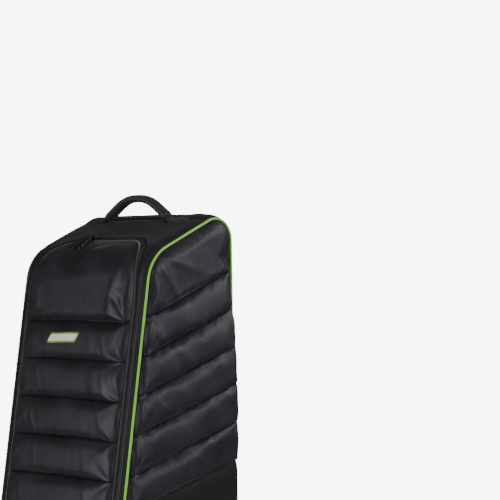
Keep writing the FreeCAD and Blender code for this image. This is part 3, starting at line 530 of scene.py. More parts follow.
TRAY = moulded("tray_plastic", (0.010, 0.010, 0.011), (0.02, 0.02, 0.021), (0.42, 0.6), 500.0, 0.00025)
BOARD = moulded("board_plastic", (0.02, 0.02, 0.022), (0.035, 0.035, 0.038))
BUCKLE = moulded("buckle_plastic", (0.010, 0.010, 0.011), (0.02, 0.02, 0.022), (0.3, 0.4), 700.0, 0.00004)
TYRE = moulded("tyre_rubber", (0.011, 0.011, 0.011), (0.03, 0.029, 0.028), (0.65, 0.85), 350.0, 0.0002)
HUB = moulded("hub_plastic", (0.035, 0.035, 0.038), (0.06, 0.06, 0.064), (0.35, 0.5))
STEEL = metal("steel", (0.30, 0.30, 0.31), (0.52, 0.52, 0.54))
RUBBER = moulded("foot_rubber", (0.010, 0.010, 0.010), (0.025, 0.025, 0.025), (0.6, 0.8), 400.0, 0.0002)
FOAM = foam_stuff("foam", (0.03, 0.03, 0.032), (0.06, 0.06, 0.064))


# ---- camera, floor and light -------------------------------------------------------------------------

def make_camera():
    """The photograph's camera, fitted to the pipings, the seams and the zipper."""
    camera = bpy.data.objects.new("camera", bpy.data.cameras.new("camera"))
    bpy.context.collection.objects.link(camera)
    camera.data.lens, camera.data.sensor_width = 131.27, 36
    azimuth, pitch, roll = (math.radians(a) for a in (44.75, -0.254, -0.83))
    level = Vector((math.cos(azimuth), math.sin(azimuth), 0))
    ahead = Vector((-math.sin(azimuth), math.cos(azimuth), 0))
    view = ahead * math.cos(pitch) + Vector((0, 0, math.sin(pitch)))
    up = level.cross(view)
    right = level * math.cos(roll) + up * math.sin(roll)
    up = up * math.cos(roll) - level * math.sin(roll)
    turned = Matrix((right, up, -view)).transposed().to_4x4()
    place = (2.83675, -2.4330, 1.2266)
    camera.matrix_world = Matrix.Translation(place) @ turned
    bpy.context.scene.camera = camera


FLOOR_REACH = 1.28                 # a round pale floor, which ends just under the camera's view


def make_stage():
    """The floor, and a world that the camera sees white but that lights the case only a little."""
    pale = Shader("pale_floor")
    pale.shade(pale.noise(3.0), (0.86, 0.86, 0.86), (0.90, 0.90, 0.90))
    pale.rough(pale.noise(5.0), 0.55, 0.7)
    turn = full_turn(64)
    edge = np.stack((FLOOR_REACH * np.cos(turn), FLOOR_REACH * np.sin(turn), 0 * turn), axis=1)
    floor = mesh_piece("floor", (edge, [list(range(len(turn)))]), [pale.mat])
    world = bpy.data.worlds.new("studio")
    bpy.context.scene.world = world
    world.use_nodes = True
    tree = world.node_tree
    ambient, backdrop = tree.nodes["Background"], tree.nodes.new("ShaderNodeBackground")
    for shader, strength in ((ambient, 0.08), (backdrop, 8.0)):
        shader.inputs["Color"].default_value = (1, 1, 1, 1)
        shader.inputs["Strength"].default_value = strength
    mix = tree.nodes.new("ShaderNodeMixShader")
    rays = tree.nodes.new("ShaderNodeLightPath")
    for number, socket in enumerate((rays.outputs["Is Camera Ray"], ambient.outputs[0], backdrop.outputs[0])):
        tree.links.new(socket, mix.inputs[number])
    tree.links.new(mix.outputs[0], tree.nodes["World Output"].inputs[0])


def softbox(name, place, target, width, height, watts):
    """A rectangular light turned towards its target."""
    lamp = bpy.data.lights.new(name, "AREA")
    lamp.shape, lamp.size, lamp.size_y, lamp.energy = "RECTANGLE", width, height, watts
    light = bpy.data.objects.new(name, lamp)
    bpy.context.collection.objects.link(light)
    light.location = place
    light.rotation_euler = (Vector(target) - Vector(place)).to_track_quat("-Z", "Y").to_euler()


make_camera()
make_stage()
softbox("front_softbox", (-0.9, -3.4, 1.25), (0, 0, 0.95), 1.9, 1.5, 76)
softbox("right_softbox", (3.2, -0.4, 2.0), (0.1, 0, 0.95), 1.4, 1.4, 54)
softbox("right_rear_softbox", (1.9, 1.9, 2.2), (0.15, 0, 1.1), 1.1, 1.1, 36)
softbox("left_rear_softbox", (-2.8, 1.9, 0.7), (0, 0, 0.6), 1.8, 0.9, 60)
softbox("top_softbox", (0.3, -0.5, 3.6), (0, 0, 0.8), 1.2, 1.2, 4)


# ---- zipper ------------------------------------------------------------------------------------------

def zip_stations(foot_z, pitch=0.010):
    """Places along the middle of the chain, foot to foot, as (x, q) and the outward direction in (x, q)."""
    foot_q = float(q_of_s(s_front(foot_z)))
    run, bend = ZIP_HALF - ZIP_ROUND, ZIP_TOP - ZIP_RISE
    legs = np.linspace(foot_q, bend, int((bend - foot_q) / pitch))
    turns = np.linspace(0, math.pi / 2, 19)[1:-1]
    level = np.linspace(-run, run, 19)
    left = [((-ZIP_HALF, q), (-1, 0)) for q in legs]
    left += [((-run - ZIP_ROUND * math.cos(t), bend + ZIP_RISE * math.sin(t)),
              unit(np.array((-math.cos(t) / ZIP_ROUND, math.sin(t) / ZIP_RISE)))) for t in turns]
    top = [((x, ZIP_TOP), (0, 1)) for x in level]
    right = [((-x, q), (-dx, dq)) for (x, q), (dx, dq) in reversed(left)]
    stations = left + top + right
    return np.array([p for p, _ in stations]), np.array([w for _, w in stations])


def zip_rings(foot_z, profile, pitch=0.010):
    """Rings of a strip that follows the zipper; the profile's points are (inset, d)."""
    middle, away = zip_stations(foot_z, pitch)
    profile = np.asarray(profile)
    x = middle[:, :1] - away[:, :1] * profile[None, :, 0]
    q = middle[:, 1:] - away[:, 1:] * profile[None, :, 0]
    return skin(x, s_of_q(q), profile[None, :, 1])


def zip_strip(name, profile, mat, body, slot, node, levels=0):
    """A strip of the given profile that follows the zipper from hinge to hinge."""
    made = ring_piece(name, zip_rings(HINGE_Z, profile), mat, body=body, slot=slot, levels=levels)
    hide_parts(node)


def make_coil(name, node, body, side):
    """The moulded turns of one half of the zipper: bars across the chain with a fat head at its middle.
    side is 1 towards the lid and -1 towards the frame."""
    foot_z, pitch, half_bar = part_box("lid_zipper_coil")[0].z, 0.0024, 0.00068
    foot, head, top, low = 0.0040, -0.0001, 0.0080, 0.0047
    profile = np.array(((foot, low), (foot, 0.0064), (0.0030, 0.0076), (0.0014, top),
                        (head, 0.0074), (head, 0.0054), (0.0014, low)))
    profile[:, 0] *= side
    rings = zip_rings(foot_z, profile, 0.004)
    along = lengths(rings.mean(axis=1))
    parts = []
    shift = 0 if side > 0 else pitch / 2
    for place in np.arange(pitch + shift, along[-1] - pitch, pitch):
        ends = [[[np.interp(edge, along, rings[:, i, k]) for k in range(3)] for i in range(len(profile))]
                for edge in (place - half_bar, place + half_bar)]
        parts.append(strip(np.array(ends)))
    core = ((0.0039, 0.0046), (0.0039, 0.0058), (0.0030, 0.0062), (0.0016, 0.0064), (0.0007, 0.0062),
            (0.0007, 0.0056), (0.0016, 0.0046))
    parts.append(strip(zip_rings(foot_z, [(side * a, b) for a, b in core], 0.004)))
    made = mesh_piece(name, joined(parts), [COIL], body=body, slot="zipper_coil")
    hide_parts(node)


def make_zipper():
    make_coil("frame_coil", "frame_zipper_coil", "case", -1)
    make_coil("lid_coil", "lid_zipper_coil", "lid", 1)
    for name, body, near, far in (("frame", "case", -0.0003, -0.009), ("lid", "lid", 0.0004, 0.0138)):
        flat = ((near, 0.0033), (near, 0.0041), (far, 0.0041), (far, 0.0033))
        zip_strip(f"{name}_tape", flat, TAPE, body, "zipper_tape", f"{name}_zipper_tape")
    arch = ((0.0046, 0.0046), (0.0046, 0.0060), (0.0052, 0.0074), (0.0066, 0.0084), (0.0084, 0.0088),
            (0.0100, 0.0085), (0.0108, 0.0076), (0.0108, 0.0046))
    zip_strip("lid_edge_binding", arch, BINDING, "lid", "binding", "lid_binding", levels=1)


# ---- quilting ----------------------------------------------------------------------------------------

# Where the points of a quilted grid lie: u across, v their share of their channel k, low and high the
# distances from the seams below and above it, and seam_near from the nearer one.  in_top is true above the
# highest seam, where to_upper passes over the panel's own edge.
Quilt = namedtuple("Quilt", "u v k low high in_top to_upper seam_near")


def channel_rows(stops, per_channel, above):
    """Rows through the quilting channels between stops, closer together beside each seam.
    Gives each row's place, its share of its channel and its channel's number."""
    t = np.arange(per_channel) / per_channel
    even = t - 0.135 * np.sin(2 * math.pi * t)
    t = np.linspace(0, 1, above + 1)
    tail = t ** 1.25
    rows = [a + (b - a) * even for a, b in zip(stops[:-2], stops[1:-1])]
    rows.append(stops[-2] + (stops[-1] - stops[-2]) * tail)
    channels = len(stops) - 2
    share = np.concatenate([even] * channels + [tail])
    number = np.repeat(np.arange(channels + 1), [per_channel] * channels + [above + 1])
    return np.concatenate(rows), share, number


def puffed(v):
    """The bulge of one channel: it stands up at once from its lower seam and runs in under the upper one."""
    v = np.clip(v, 0, 1)
    lip = 0.62 * smooth(v / 0.030) ** 0.5 * (1 - v) ** 0.25
    under = 0.22 * smooth((1 - v) / 0.030) ** 0.5 * v
    return lip + under + (0.42 - 0.16 * v) * np.sin(math.pi * v) ** 0.8


def crisp_folds(along, pitch, seed):
    """Random narrow ridges about pitch apart, 0 to 1, with soft hollows between them."""
    return (1 - np.abs(ripple(along, pitch, seed))) ** 4


def slump(v):
    """How far the filling hangs down: most in the lower third of a channel."""
    return smooth(v / 0.035) * smooth((1 - v) / 0.8)


def seam_end_folds(to_end, low, high, seed, count=6.0):
    """Creases that fan out from the ends of the two seams beside a channel.  to_end is the distance from
    the panel's edge, and low and high the distances from the seams below and above."""
    total = 0
    for which, rise in enumerate((low, high)):
        reach = np.hypot(to_end, rise)
        angle = np.arctan2(rise, to_end + 1e-6)
        phase = seed * 2.4 + which * 1.7
        fan = np.sin(count * angle + phase) + 0.6 * np.sin(2.3 * count * angle + 1.3 * phase)
        total = total + fan * smooth(reach / 0.016) * np.exp(-reach / 0.030)
    return total


# ---- quilted lid -------------------------------------------------------------------------------------

def inside_zipper(x, s):
    """The flat lid's two top corners are drawn in to follow the zipper's rounding."""
    corner, corner_rise = ZIP_ROUND - LID_INSET, ZIP_RISE - LID_INSET
    q, low = q_of_s(s), LID_TOP - corner_rise
    a = np.clip((np.abs(x) - (LID_HALF - corner)) / corner, 0, 1)
    b = np.clip((q - low) / corner_rise, 0, 1)
    x = np.where(a * b > 0, np.sign(x) * (LID_HALF - corner + corner * a * np.sqrt(1 - b * b / 2)), x)
    return x, s_of_q(np.where(a * b > 0, low + corner_rise * b * np.sqrt(1 - a * a / 2), q))


def lid_bulge(at, x, s):
    """How far the filling lifts the lid, channel by channel, and slackly above the highest seam."""
    # under the parked sliders the slack fabric stays low before it turns down the front
    slack = np.exp(-((x + 0.030) / 0.100) ** 4)
    start = 0.004 + 0.048 * slack + 0.026 * slack * ripple(x + 0.2 * s, 0.034, 8)
    turned_down = smooth((at.high - start) / (0.070 - 0.048 * slack))
    full = 0.0112 + 0.0014 * ripple(x + 0.53 * at.k, 0.11, 7)
    return np.where(at.in_top, 0.0150 * smooth(at.low / 0.010) ** 0.5 * turned_down, full * puffed(at.v))


def lid_creases(at, x, to_zip):
    """Gathers under the zipper's top run, folds down from its corners, and puckers beside each seam."""
    u, v, k, low, near = at.u, at.v, at.k, at.low, at.seam_near
    to_side, right = (1 - np.abs(u)) * LID_HALF, u > 0
    reach = 0.018 + 0.014 * ripple(x, 0.03, 4)
    gather = 0.0022 * ripple(x, 0.0085, 3) * np.exp(-to_zip / np.maximum(reach, 0.006))
    pucker = 0.0013 * ripple(x + 0.7 * k, 0.013, 5) * np.exp(-near / 0.011) * smooth(near / 0.003)
    fans = seam_end_folds(to_side, low, at.to_upper, k + 3.1 * right)
    fans = 0.0030 * fans * smooth(to_side / 0.012) * np.where(right, 1.0, 0.7)
    lean = np.abs(x) - 0.116 - 0.10 * low + 0.004 * np.sin(40 * low)
    fold = 0.0026 * np.exp(-(lean / 0.012) ** 2) - 0.0026 * np.exp(-((lean - 0.019) / 0.008) ** 2)
    fold = fold * np.where(right, 1.0, 0.5) * smooth(low / 0.03) * smooth(at.high / 0.05)
    tension = crisp_folds(u * 1.2 + v * 0.22 + 0.9 * k, 0.19, 9) * smooth((np.abs(u) - 0.25) / 0.4)
    tension = 0.0020 * tension * np.sin(math.pi * v) ** 0.5
    return pucker + fans + np.where(at.in_top, gather + fold, tension)


def make_lid():
    """The padded lid: rows of quilting, its lining and its badge."""
    per_channel, above, cols = 16, 34, 60
    seams = [float(s_front(LID_SEAM_Z - QUILT_PITCH * i)) for i in range(12)][::-1]
    stops = np.array([HINGE_S] + seams + [float(s_of_q(LID_TOP))])
    rows, share, number = channel_rows(stops, per_channel, above)
    t = np.linspace(-1, 1, cols)
    s, u = np.meshgrid(rows, t + 0.07 * np.sin(math.pi * t), indexing="ij")
    v, k = np.broadcast_to(share[:, None], s.shape), np.broadcast_to(number[:, None], s.shape)
    low, high, in_top = s - stops[k], stops[k + 1] - s, k == len(seams)
    seam_near = np.minimum(low, high * np.where(in_top, 8, 1))
    at = Quilt(u, v, k, low, high, in_top, np.where(in_top, 1.0, high), seam_near)
    x, s = inside_zipper(u * LID_HALF, s)
    # seams bow up a little between their ends, and the filling hangs over them
    lift = smooth((s - HINGE_S) / 0.1) * smooth((rows[-1] - s) / 0.15)
    side_fall = (1 - np.abs(u) ** 30) ** 0.7
    hang = 0.0052 + 0.0016 * ripple(x + 0.31 * k, 0.09, 6)
    drop = np.where(in_top, 1.3 * hang * smooth(low / 0.005) * smooth((0.085 - low) / 0.08), hang * slump(v))
    s = s + 0.003 * (1 - u * u) * lift - drop * side_fall
    to_zip = np.maximum(np.minimum(rows[-1] - s, (1 - np.abs(u)) * LID_HALF + 0.2 * (rows[-1] - s)), 0)
    base = 0.0072 + 0.0028 * (1 - u * u) * smooth(seam_near / 0.006)
    d = base + (lid_bulge(at, x, s) + lid_creases(at, x, to_zip)) * side_fall
    grid = skin(x, s, np.maximum(d, 0.0071))
    held = edge_pins(*s.shape, *[per_channel * i for i in range(1, len(seams) + 1)])
    grid = settle("lid", grid, held, push=4, growth=0.003, stiffness=1.2)
    uv = np.stack((x, s), axis=-1)
    lid = panel("quilted_lid", grid, skin(x, s, 0.0068), [NYLON, LINING], uv, "lid", "shell_fabric")
    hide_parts("lid_panel")
    few = (slice(None, None, 2), slice(None, None, 2))
    lining = panel("lid_lining_cloth", skin(x, s, 0.0066)[few], skin(x, s, 0.0057)[few], [LINING], uv[few],
                   "lid", "lining", levels=0)
    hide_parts("lid_lining")
    make_badge(grid, u[0] * LID_HALF, rows)


def make_badge(grid, across, rows):
    """A blank slanted plate: a pale field on a darker rim, laid on the channel under the highest seam."""
    low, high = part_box("badge")
    middle_x, middle_s = (low.x + high.x) / 2, float(s_front((low.z + high.z) / 2))
    wide, tall, slant = high.x - low.x - 0.006, 0.0195, 0.0055
    normals = np.cross(np.gradient(grid, axis=1), np.gradient(grid, axis=0))
    normals /= np.linalg.norm(normals, axis=-1, keepdims=True)

    def on_lid(x, s, proud):
        col = np.interp(x, across, np.arange(len(across)))
        row = np.interp(s, rows, np.arange(len(rows)))
        c, r = col.astype(int), row.astype(int)
        fc, fr = (col - c)[..., None], (row - r)[..., None]

        def mixed(field):
            return ((field[r, c] * (1 - fc) + field[r, c + 1] * fc) * (1 - fr)
                    + (field[r + 1, c] * (1 - fc) + field[r + 1, c + 1] * fc) * fr)

        return mixed(grid) + mixed(normals) * np.asarray(proud)[..., None]

    def plate(name, trim, base, top, mat):
        v, u = np.meshgrid(np.linspace(-1, 1, 9), np.linspace(-1, 1, 33), indexing="ij")
        square = 1 - 0.10 * np.abs(v) ** 6 * np.abs(u) ** 20
        half_w, half_t = wide / 2 - trim, tall / 2 - trim
        x = middle_x + u * half_w * square + v * slant
        s = middle_s + v * half_t + 0.0008 * np.sin(u * 2.4)
        edge = np.maximum(np.abs(u) ** 24, np.abs(v) ** 10)
        return panel(name, on_lid(x, s, top - 0.0004 * edge), on_lid(x, s, base + 0 * edge), [mat],
                     np.stack((x, s), axis=-1), "lid", "badge")

    rim = plate("badge_rim", 0.0, 0.0002, 0.0016, BADGE_RIM)
    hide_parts("badge")
    plate("badge_field", 0.0032, 0.0014, 0.0024, BADGE)


# ---- front border, yoke, back and lower front ----------------------------------------------------------

def make_border():
    """From the zipper out to the pipings and back to the cross seam, in rows that fan round the U."""
    middle, away = zip_stations(HINGE_Z, 0.007)
    inset = -0.0046
    inner_x = middle[:, 0] - away[:, 0] * inset
    inner_s = s_of_q(middle[:, 1] - away[:, 1] * inset)
    run = ZIP_HALF - ZIP_ROUND
    bend_s = float(s_of_q(ZIP_TOP - ZIP_RISE))
    turn = np.arctan2(away[:, 1], np.abs(away[:, 0]))
    # one row on each side runs exactly into the corner between piping and cross seam
    half_way, other_side = math.pi / 4, 9
    diagonal = [int(np.argmin(np.abs(turn - half_way) + other_side * (sign * middle[:, 0] < 0)))
                for sign in (-1, 1)]
    turn[diagonal] = half_way
    side_part = np.clip(np.tan(np.minimum(turn, half_way)), 0, 1)
    top_part = np.clip(np.tan(np.minimum(math.pi / 2 - turn, half_way)), 0, 1)
    straight = turn < 1e-6
    level = turn > math.pi / 2 - 1e-6
    outer_s = np.where(straight, inner_s, bend_s + (YOKE_S - bend_s) * side_part)
    outer_x = np.sign(middle[:, 0]) * (run + (EDGE_X - run) * top_part)
    outer_x = np.where(level, inner_x, outer_x)
    outer_s = np.where(turn > half_way, YOKE_S, outer_s)
    c = np.array((0, 0.025, 0.07, 0.13, 0.2, 0.29, 0.38, 0.47, 0.56, 0.65, 0.74, 0.82, 0.89, 0.95, 0.985, 1))
    x = inner_x[:, None] * (1 - c) + outer_x[:, None] * c
    s = inner_s[:, None] * (1 - c) + outer_s[:, None] * c
    width = np.hypot(outer_x - inner_x, outer_s - inner_s)[:, None]
    from_zip = c * width
    lip = 0.0086 - 0.0030 * np.exp(-from_zip / 0.0012) - 0.0012 * smooth(from_zip / 0.012)
    d = lip * (1 - smooth(c)) + crown(x) * smooth(c)
    d = d - cross_seam(x, s)
    to_edge = width - from_zip
    d = d + 0.0008 * ripple(x + 2 * s, 0.03, 11) * smooth(from_zip / 0.01) * smooth(to_edge / 0.01)
    d = d + 0.0009 * ripple(s * 1.3 - x, 0.012, 12) * np.exp(-to_edge / 0.010) * smooth(width / 0.05)
    border = panel("padded_front_border", skin(x, s, d), skin(x, s, LINING_D), [NYLON, LINING],
                   np.stack((x, s), axis=-1), "case", "shell_fabric",
                   corners=[row * len(c) + len(c) - 1 for row in diagonal])
    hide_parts("front_border")


def make_band(name, node, start, end, rows, cols, outer, mat=NYLON, slot="shell_fabric"):
    """A full-width panel between two places along the outline; outer gives d from x and s."""
    s, x = np.meshgrid(np.linspace(start, end, rows), np.linspace(-EDGE_X, EDGE_X, cols), indexing="ij")
    uv = np.stack((x, s), axis=-1)
    made = panel(name, skin(x, s, outer(x, s)), skin(x, s, LINING_D), [mat, LINING], uv, "case", slot)
    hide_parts(node)


def make_yoke_back_and_foot():
    foot_s = float(s_back(YOKE_FOOT_Z))

    def yoke(x, s):
        fade = smooth((foot_s - s) / 0.06)
        hem = 0.0012 * np.exp(-((s - foot_s) / 0.004) ** 2)
        soft = 0.0011 * ripple(x * 1.2 + s, 0.035, 21) * smooth((EDGE_X - np.abs(x)) / 0.02)
        # one arched fold runs from handle root to handle root
        between = np.clip(1 - (x / 0.105) ** 2, 0, 1)
        arch = s - float(s_slope(HANDLE_Y)) + 0.010 + 0.016 * between
        soft = soft + 0.0030 * np.exp(-(arch / 0.010) ** 2) * between ** 0.3
        return 0.0022 + (crown(x) - 0.0022) * fade + soft - cross_seam(x, s) - hem

    def back(x, s):
        width = smooth((EDGE_X - np.abs(x)) / 0.05)
        slack = 0.0020 * ripple(x + 0.3 * s, 0.11, 31) * ripple(s, 0.16, 32)
        return 0.0016 + (0.0020 + slack) * width * smooth((s - foot_s) / 0.03)

    def lower_front(x, s):
        rise = np.sin(math.pi * np.clip((s - ALONG[0]) / (HINGE_S - ALONG[0]), 0, 1)) ** 0.6
        return 0.0015 + 0.0050 * rise * (1 - np.abs(x / EDGE_X) ** 6) + 0.0004 * ripple(x, 0.03, 41) * rise

    make_band("padded_yoke", "top_yoke", YOKE_S + 0.0004, foot_s, 34, 62, yoke)
    make_band("back_cloth", "back_panel", foot_s + 0.0004, ALONG[-1], 90, 38, back)
    make_band("lower_front_cloth", "lower_front_panel", 0.0, HINGE_S - 0.0006, 12, 50, lower_front,
              LOWER, "lower_fabric")


# ---- sides -------------------------------------------------------------------------------------------

def side_edge(s):
    """The line just inside the outline where a side panel is sewn in, as (y, z)."""
    return skin(0, s, -0.0022)[..., 1:]


def side_swell(u, back_z):
    """How far a side stands out at its seams, u being 0 at the front and 1 at the back.  At the back it
    follows the piping at the top, and below it wraps fully round the corner."""
    low_down = smooth((1.205 - back_z) / 0.22)
    wrap = smooth((1 - u) / (0.075 - 0.052 * low_down)) ** 0.6
    return (0.0026 + (0.0010 + 0.0150 * low_down) * smooth(u / 1.02)) * wrap * smooth(u / 0.05)


def side_grid(front_s, back_s, cols, rise, front_top, back_top):
    """(y, z) over a side panel: rows run from its front edge to its back edge, and bow to the roof."""
    t = np.linspace(0, 1, cols)
    u = t - 0.075 * np.sin(2 * math.pi * t)
    front, back = side_edge(front_s)[:, None], side_edge(back_s)[:, None]
    yz = front * (1 - u[None, :, None]) + back * u[None, :, None]
    roof = side_edge(front_top + (back_top - front_top) * u)
    bow = roof - (roof[0] * (1 - u[:, None]) + roof[-1] * u[:, None])
    return u[None], yz + rise[:, None, None] * bow[None]


def side_points(x, yz):
    """A grid of points from x, a number or a grid, and a grid of (y, z)."""
    return np.concatenate((np.broadcast_to(x, yz.shape[:2])[..., None], yz), axis=-1)


def hung_folds(u, high, seed):
    """Under the roof the slack fabric hangs in folds from the bend of the front piping."""
    reach = np.hypot(u * SIDE_DEPTH, high + 0.02)
    angle = np.arctan2(high + 0.02, u * SIDE_DEPTH + 0.01)
    hung = 0.0042 * (crisp_folds(angle + 0.6 * reach, 0.30, seed) - 0.3)
    return hung * smooth(reach / 0.06) * np.exp(-reach / 0.16) * smooth(high / 0.03)


def side_bulge(at, sign):
    """How far the filling lifts a side: less towards the back, and slackly under the roof."""
    full = 0.0112 - 0.0050 * smooth((at.u - 0.6) / 0.38)
    full = full + 0.0012 * ripple(at.u * 0.3 + 0.53 * at.k, 0.10, 45 + sign)
    under_roof = 0.0105 * smooth(at.low / 0.010) ** 0.5 * smooth(at.high / 0.040) ** 0.7
    return np.where(at.in_top, under_roof, full * puffed(at.v))


def side_creases(at, front_s, sign):
    """Puckers and fans beside the seams, sweeping folds, gathers at the front piping and hung folds."""
    u, v, k, high, near = at.u, at.v, at.k, at.high, at.seam_near
    along = u * 0.3 + 0 * v
    pucker = 0.0012 * ripple(along + 0.9 * k, 0.017, 50 + sign) * np.exp(-near / 0.013) * smooth(near / 0.003)
    sweep = 0.0012 * ripple(along + v * 0.06 + k * 0.37, 0.045, 60 + sign) * smooth(near / 0.02)
    sweep = sweep * np.where(at.in_top, smooth((high - 0.02) / 0.05), 1.0)
    crisp = 0.0030 * crisp_folds(along + v * 0.075 + k * 0.61, 0.052, 62 + sign) * smooth(near / 0.015)
    crisp = crisp * np.where(at.in_top, 0.6 * smooth((high - 0.03) / 0.05), 1.0)
    gather = 0.0009 * ripple(front_s[:, None] + 0 * u, 0.016, 65 + sign) * np.exp(-u / 0.05)
    fans = seam_end_folds(u * SIDE_DEPTH, at.low, at.to_upper, k + 1.3 * sign, 5.0)
    fans = fans + 0.6 * seam_end_folds((1 - u) * SIDE_DEPTH, at.low, at.to_upper, k + 2.6, 5.0)
    fans = 0.0036 * fans * smooth(u / 0.03) * smooth((1 - u) / 0.06)
    hung = np.where(at.in_top, hung_folds(u, high, 67 + sign), 0)
    return pucker + sweep + crisp + gather + fans + hung


def make_side(side, sign):
    """A padded side: diagonal channels, the slack fabric under the roof, and the plain panel below."""
    per_channel, above, cols = 13, 24, 62
    steps = np.arange(SIDE_CHANNELS, -1, -1) * QUILT_PITCH
    front_top, back_top = float(s_slope(-0.024)), float(s_back(1.287))
    front_stops = np.r_[s_front(SIDE_SEAM_FRONT_Z - steps), front_top]
    back_stops = np.r_[s_back(SIDE_SEAM_BACK_Z - steps), back_top]
    front_s, share, number = channel_rows(front_stops, per_channel, above)
    back_s = channel_rows(back_stops, per_channel, above)[0]
    rise = np.where(number == SIDE_CHANNELS, share, 0) ** 1.5
    u, yz = side_grid(front_s, back_s, cols, rise, front_top, back_top)
    v, k = share[:, None], number[:, None]
    in_top = k == SIDE_CHANNELS
    tall = np.where(in_top, ROOF_HEIGHT, QUILT_PITCH)
    low, high = v * tall + 0 * u, (1 - v) * tall + 0 * u
    to_upper = np.where(in_top, 1.0, high)
    at = Quilt(u, v, k, low, high, in_top, to_upper, np.minimum(low, to_upper))
    ends = smooth(u / 0.035) ** 0.8 * smooth((1 - u) / np.where(in_top, 0.09, 0.035)) ** 0.7
    # beside the front piping each seam ends in a short second crease
    tuck = 0.0030 * np.exp(-((v - 0.86 - 0.9 * u) / 0.05) ** 2) * smooth((0.17 - u) / 0.08) * smooth(u / 0.03)
    stitched_in = 0.0038 * np.exp(-(at.seam_near / 0.0012) ** 2)
    proud = (side_bulge(at, sign) + side_creases(at, front_s, sign) - stitched_in) * ends
    swell = side_swell(u, side_edge(back_s)[:, 1][:, None])
    x = np.where(v == 1, SIDE_X, SIDE_X + swell + proud - np.where(in_top, 0, tuck))
    hang = np.where(in_top, 1.2 * smooth(low / 0.005) * smooth((0.075 - low) / 0.07), slump(v)) * ends
    yz = yz - np.stack((0 * hang, 0.0052 * hang), axis=-1)
    grid = side_points(sign * x, yz)
    held = edge_pins(*x.shape, *[per_channel * i for i in range(1, SIDE_CHANNELS + 1)])
    turned = slice(None, None, sign)      # both sides are simulated with their outer face outwards
    settled = settle(f"{side}_side", grid[:, turned], held[:, turned], push=5, growth=0.006, stiffness=0.8)
    settled[..., 0] = np.clip(settled[..., 0], -SIDE_LIMIT, SIDE_LIMIT)
    made = panel(f"{side}_quilted_side", settled[:, turned], side_points(sign * SIDE_LINING_X, yz),
                 [NYLON, LINING], yz, "case", "shell_fabric")
    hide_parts(f"{side}_side_panel")
    make_lower_side(side, sign, front_stops[0], back_stops[0])


def make_lower_side(side, sign, front_top, back_top):
    """The plain panel between the last diagonal seam and the tray, with one row of stitching."""
    rows, cols = 64, 50
    t = np.linspace(0, 1, rows)
    t = (t + 0.05 * np.sin(math.pi * t)) / t[-1]
    u, yz = side_grid(front_top * t, ALONG[-1] + (back_top - ALONG[-1]) * t, cols, 0 * t, 0.1, 0.2)
    yz[-1, :, 1] -= 0.0006
    t = t[:, None]
    foot_rise = smooth(t / 0.05)
    top_fall = smooth((1 - t) / 0.03)
    from_seam = (1 - t) * 0.6
    stitch = 0.0012 * np.exp(-((from_seam - 0.052) / 0.0030) ** 2)
    ends = smooth(u / 0.06) * smooth((1 - u) / 0.04)
    wave = 0.0022 * ripple(u * 0.36 + 0.4 * t, 0.09, 70 + sign) * ripple(t * 0.6, 0.12, 75 + sign)
    swell = side_swell(u, yz[:, -1:, 1]) + 0.0030 * ends
    x = SIDE_X + swell * foot_rise * (0.75 + 0.25 * top_fall)
    x = x + (wave * top_fall * foot_rise - stitch) * ends
    inner = side_points(sign * SIDE_LINING_X, yz)
    # the lining runs up behind the seam, so that no light shows through it
    inner[-1] += (sign * -0.0004, 0, 0.0090)
    lower = panel(f"{side}_lower_side_cloth", side_points(sign * x, yz), inner, [LOWER, LINING], yz, "case",
                  "lower_fabric")
    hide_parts(f"{side}_lower_side_panel")


def make_foot_hem():
    """The turned-in hem along the shell's foot, which closes it over the tray's rounded corners."""
    front, back = float(LINE[0, 0]), float(LINE[-1, 0])
    middle, wide, thick, squareness = (front + back) / 2, 0.014, 0.0012, 24
    c, s = np.cos(full_turn(240)), np.sin(full_turn(240))
    reach = (np.abs(c) ** squareness + np.abs(s) ** squareness) ** (-1 / squareness)
    rings = []
    for inset, rise in ((0, 0), (0, thick), (wide, thick), (wide, 0)):
        x, y = (EDGE_X + 0.0006 - inset) * reach * c, (back - middle + 0.0006 - inset) * reach * s
        rings.append(np.stack((x, middle + y, 0 * x + FOOT_Z + 0.0002 + rise), axis=1))
    hem = strip(np.stack(rings, axis=1), closed=True)
    mesh_piece("shell_foot_hem", hem, [LOWER], body="case", slot="lower_fabric", flat=True)


def make_piping(side, sign):
    """A covered cord along the side seam, slightly drawn in at its stitches."""
    s = np.linspace(0.0, ALONG[-1], 420)
    places = skin(sign * (PIPING_X - 0.0006), s, -0.0012)
    rings = tube_rings(places, travel(places), ACROSS, oval(0.0026, 0.0026, 12))
    rings = thickened(places, rings, 1 + 0.03 * ripple(s, 0.018, 80 + sign))
    made = ring_piece(f"{side}_piping_cord", rings, PIPING, body="case", slot="piping")
    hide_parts(f"{side}_piping")


# ---- small shapes ------------------------------------------------------------------------------------

def block(size, centre=(0, 0, 0), bevel=0.0006):
    """A box with rounded edges, as vertices and faces."""
    bm = bmesh.new()
    bmesh.ops.create_cube(bm, size=1.0)
    bmesh.ops.scale(bm, vec=size, verts=bm.verts)
    bmesh.ops.bevel(bm, geom=bm.edges[:], offset=bevel, segments=2, profile=0.6, affect="EDGES")
    bm.verts.index_update()
    verts = np.array([v.co[:] for v in bm.verts]) + np.array(centre)
    faces = [[v.index for v in f.verts] for f in bm.faces]
    bm.free()
    return verts, faces


def turned_ring(section, steps):
    """Turn a section of (along, radius) points about the X axis."""
    angle = full_turn(steps)[:, None]
    section = np.asarray(section)
    rings = np.stack((np.broadcast_to(section[None, :, 0], (steps, len(section))),
                      np.cos(angle) * section[None, :, 1],
                      np.sin(angle) * section[None, :, 1]), axis=-1)
    faces = grid_faces(steps, len(section), wrap_rows=True, wrap_cols=True)
    return rings.reshape(-1, 3), faces.tolist()


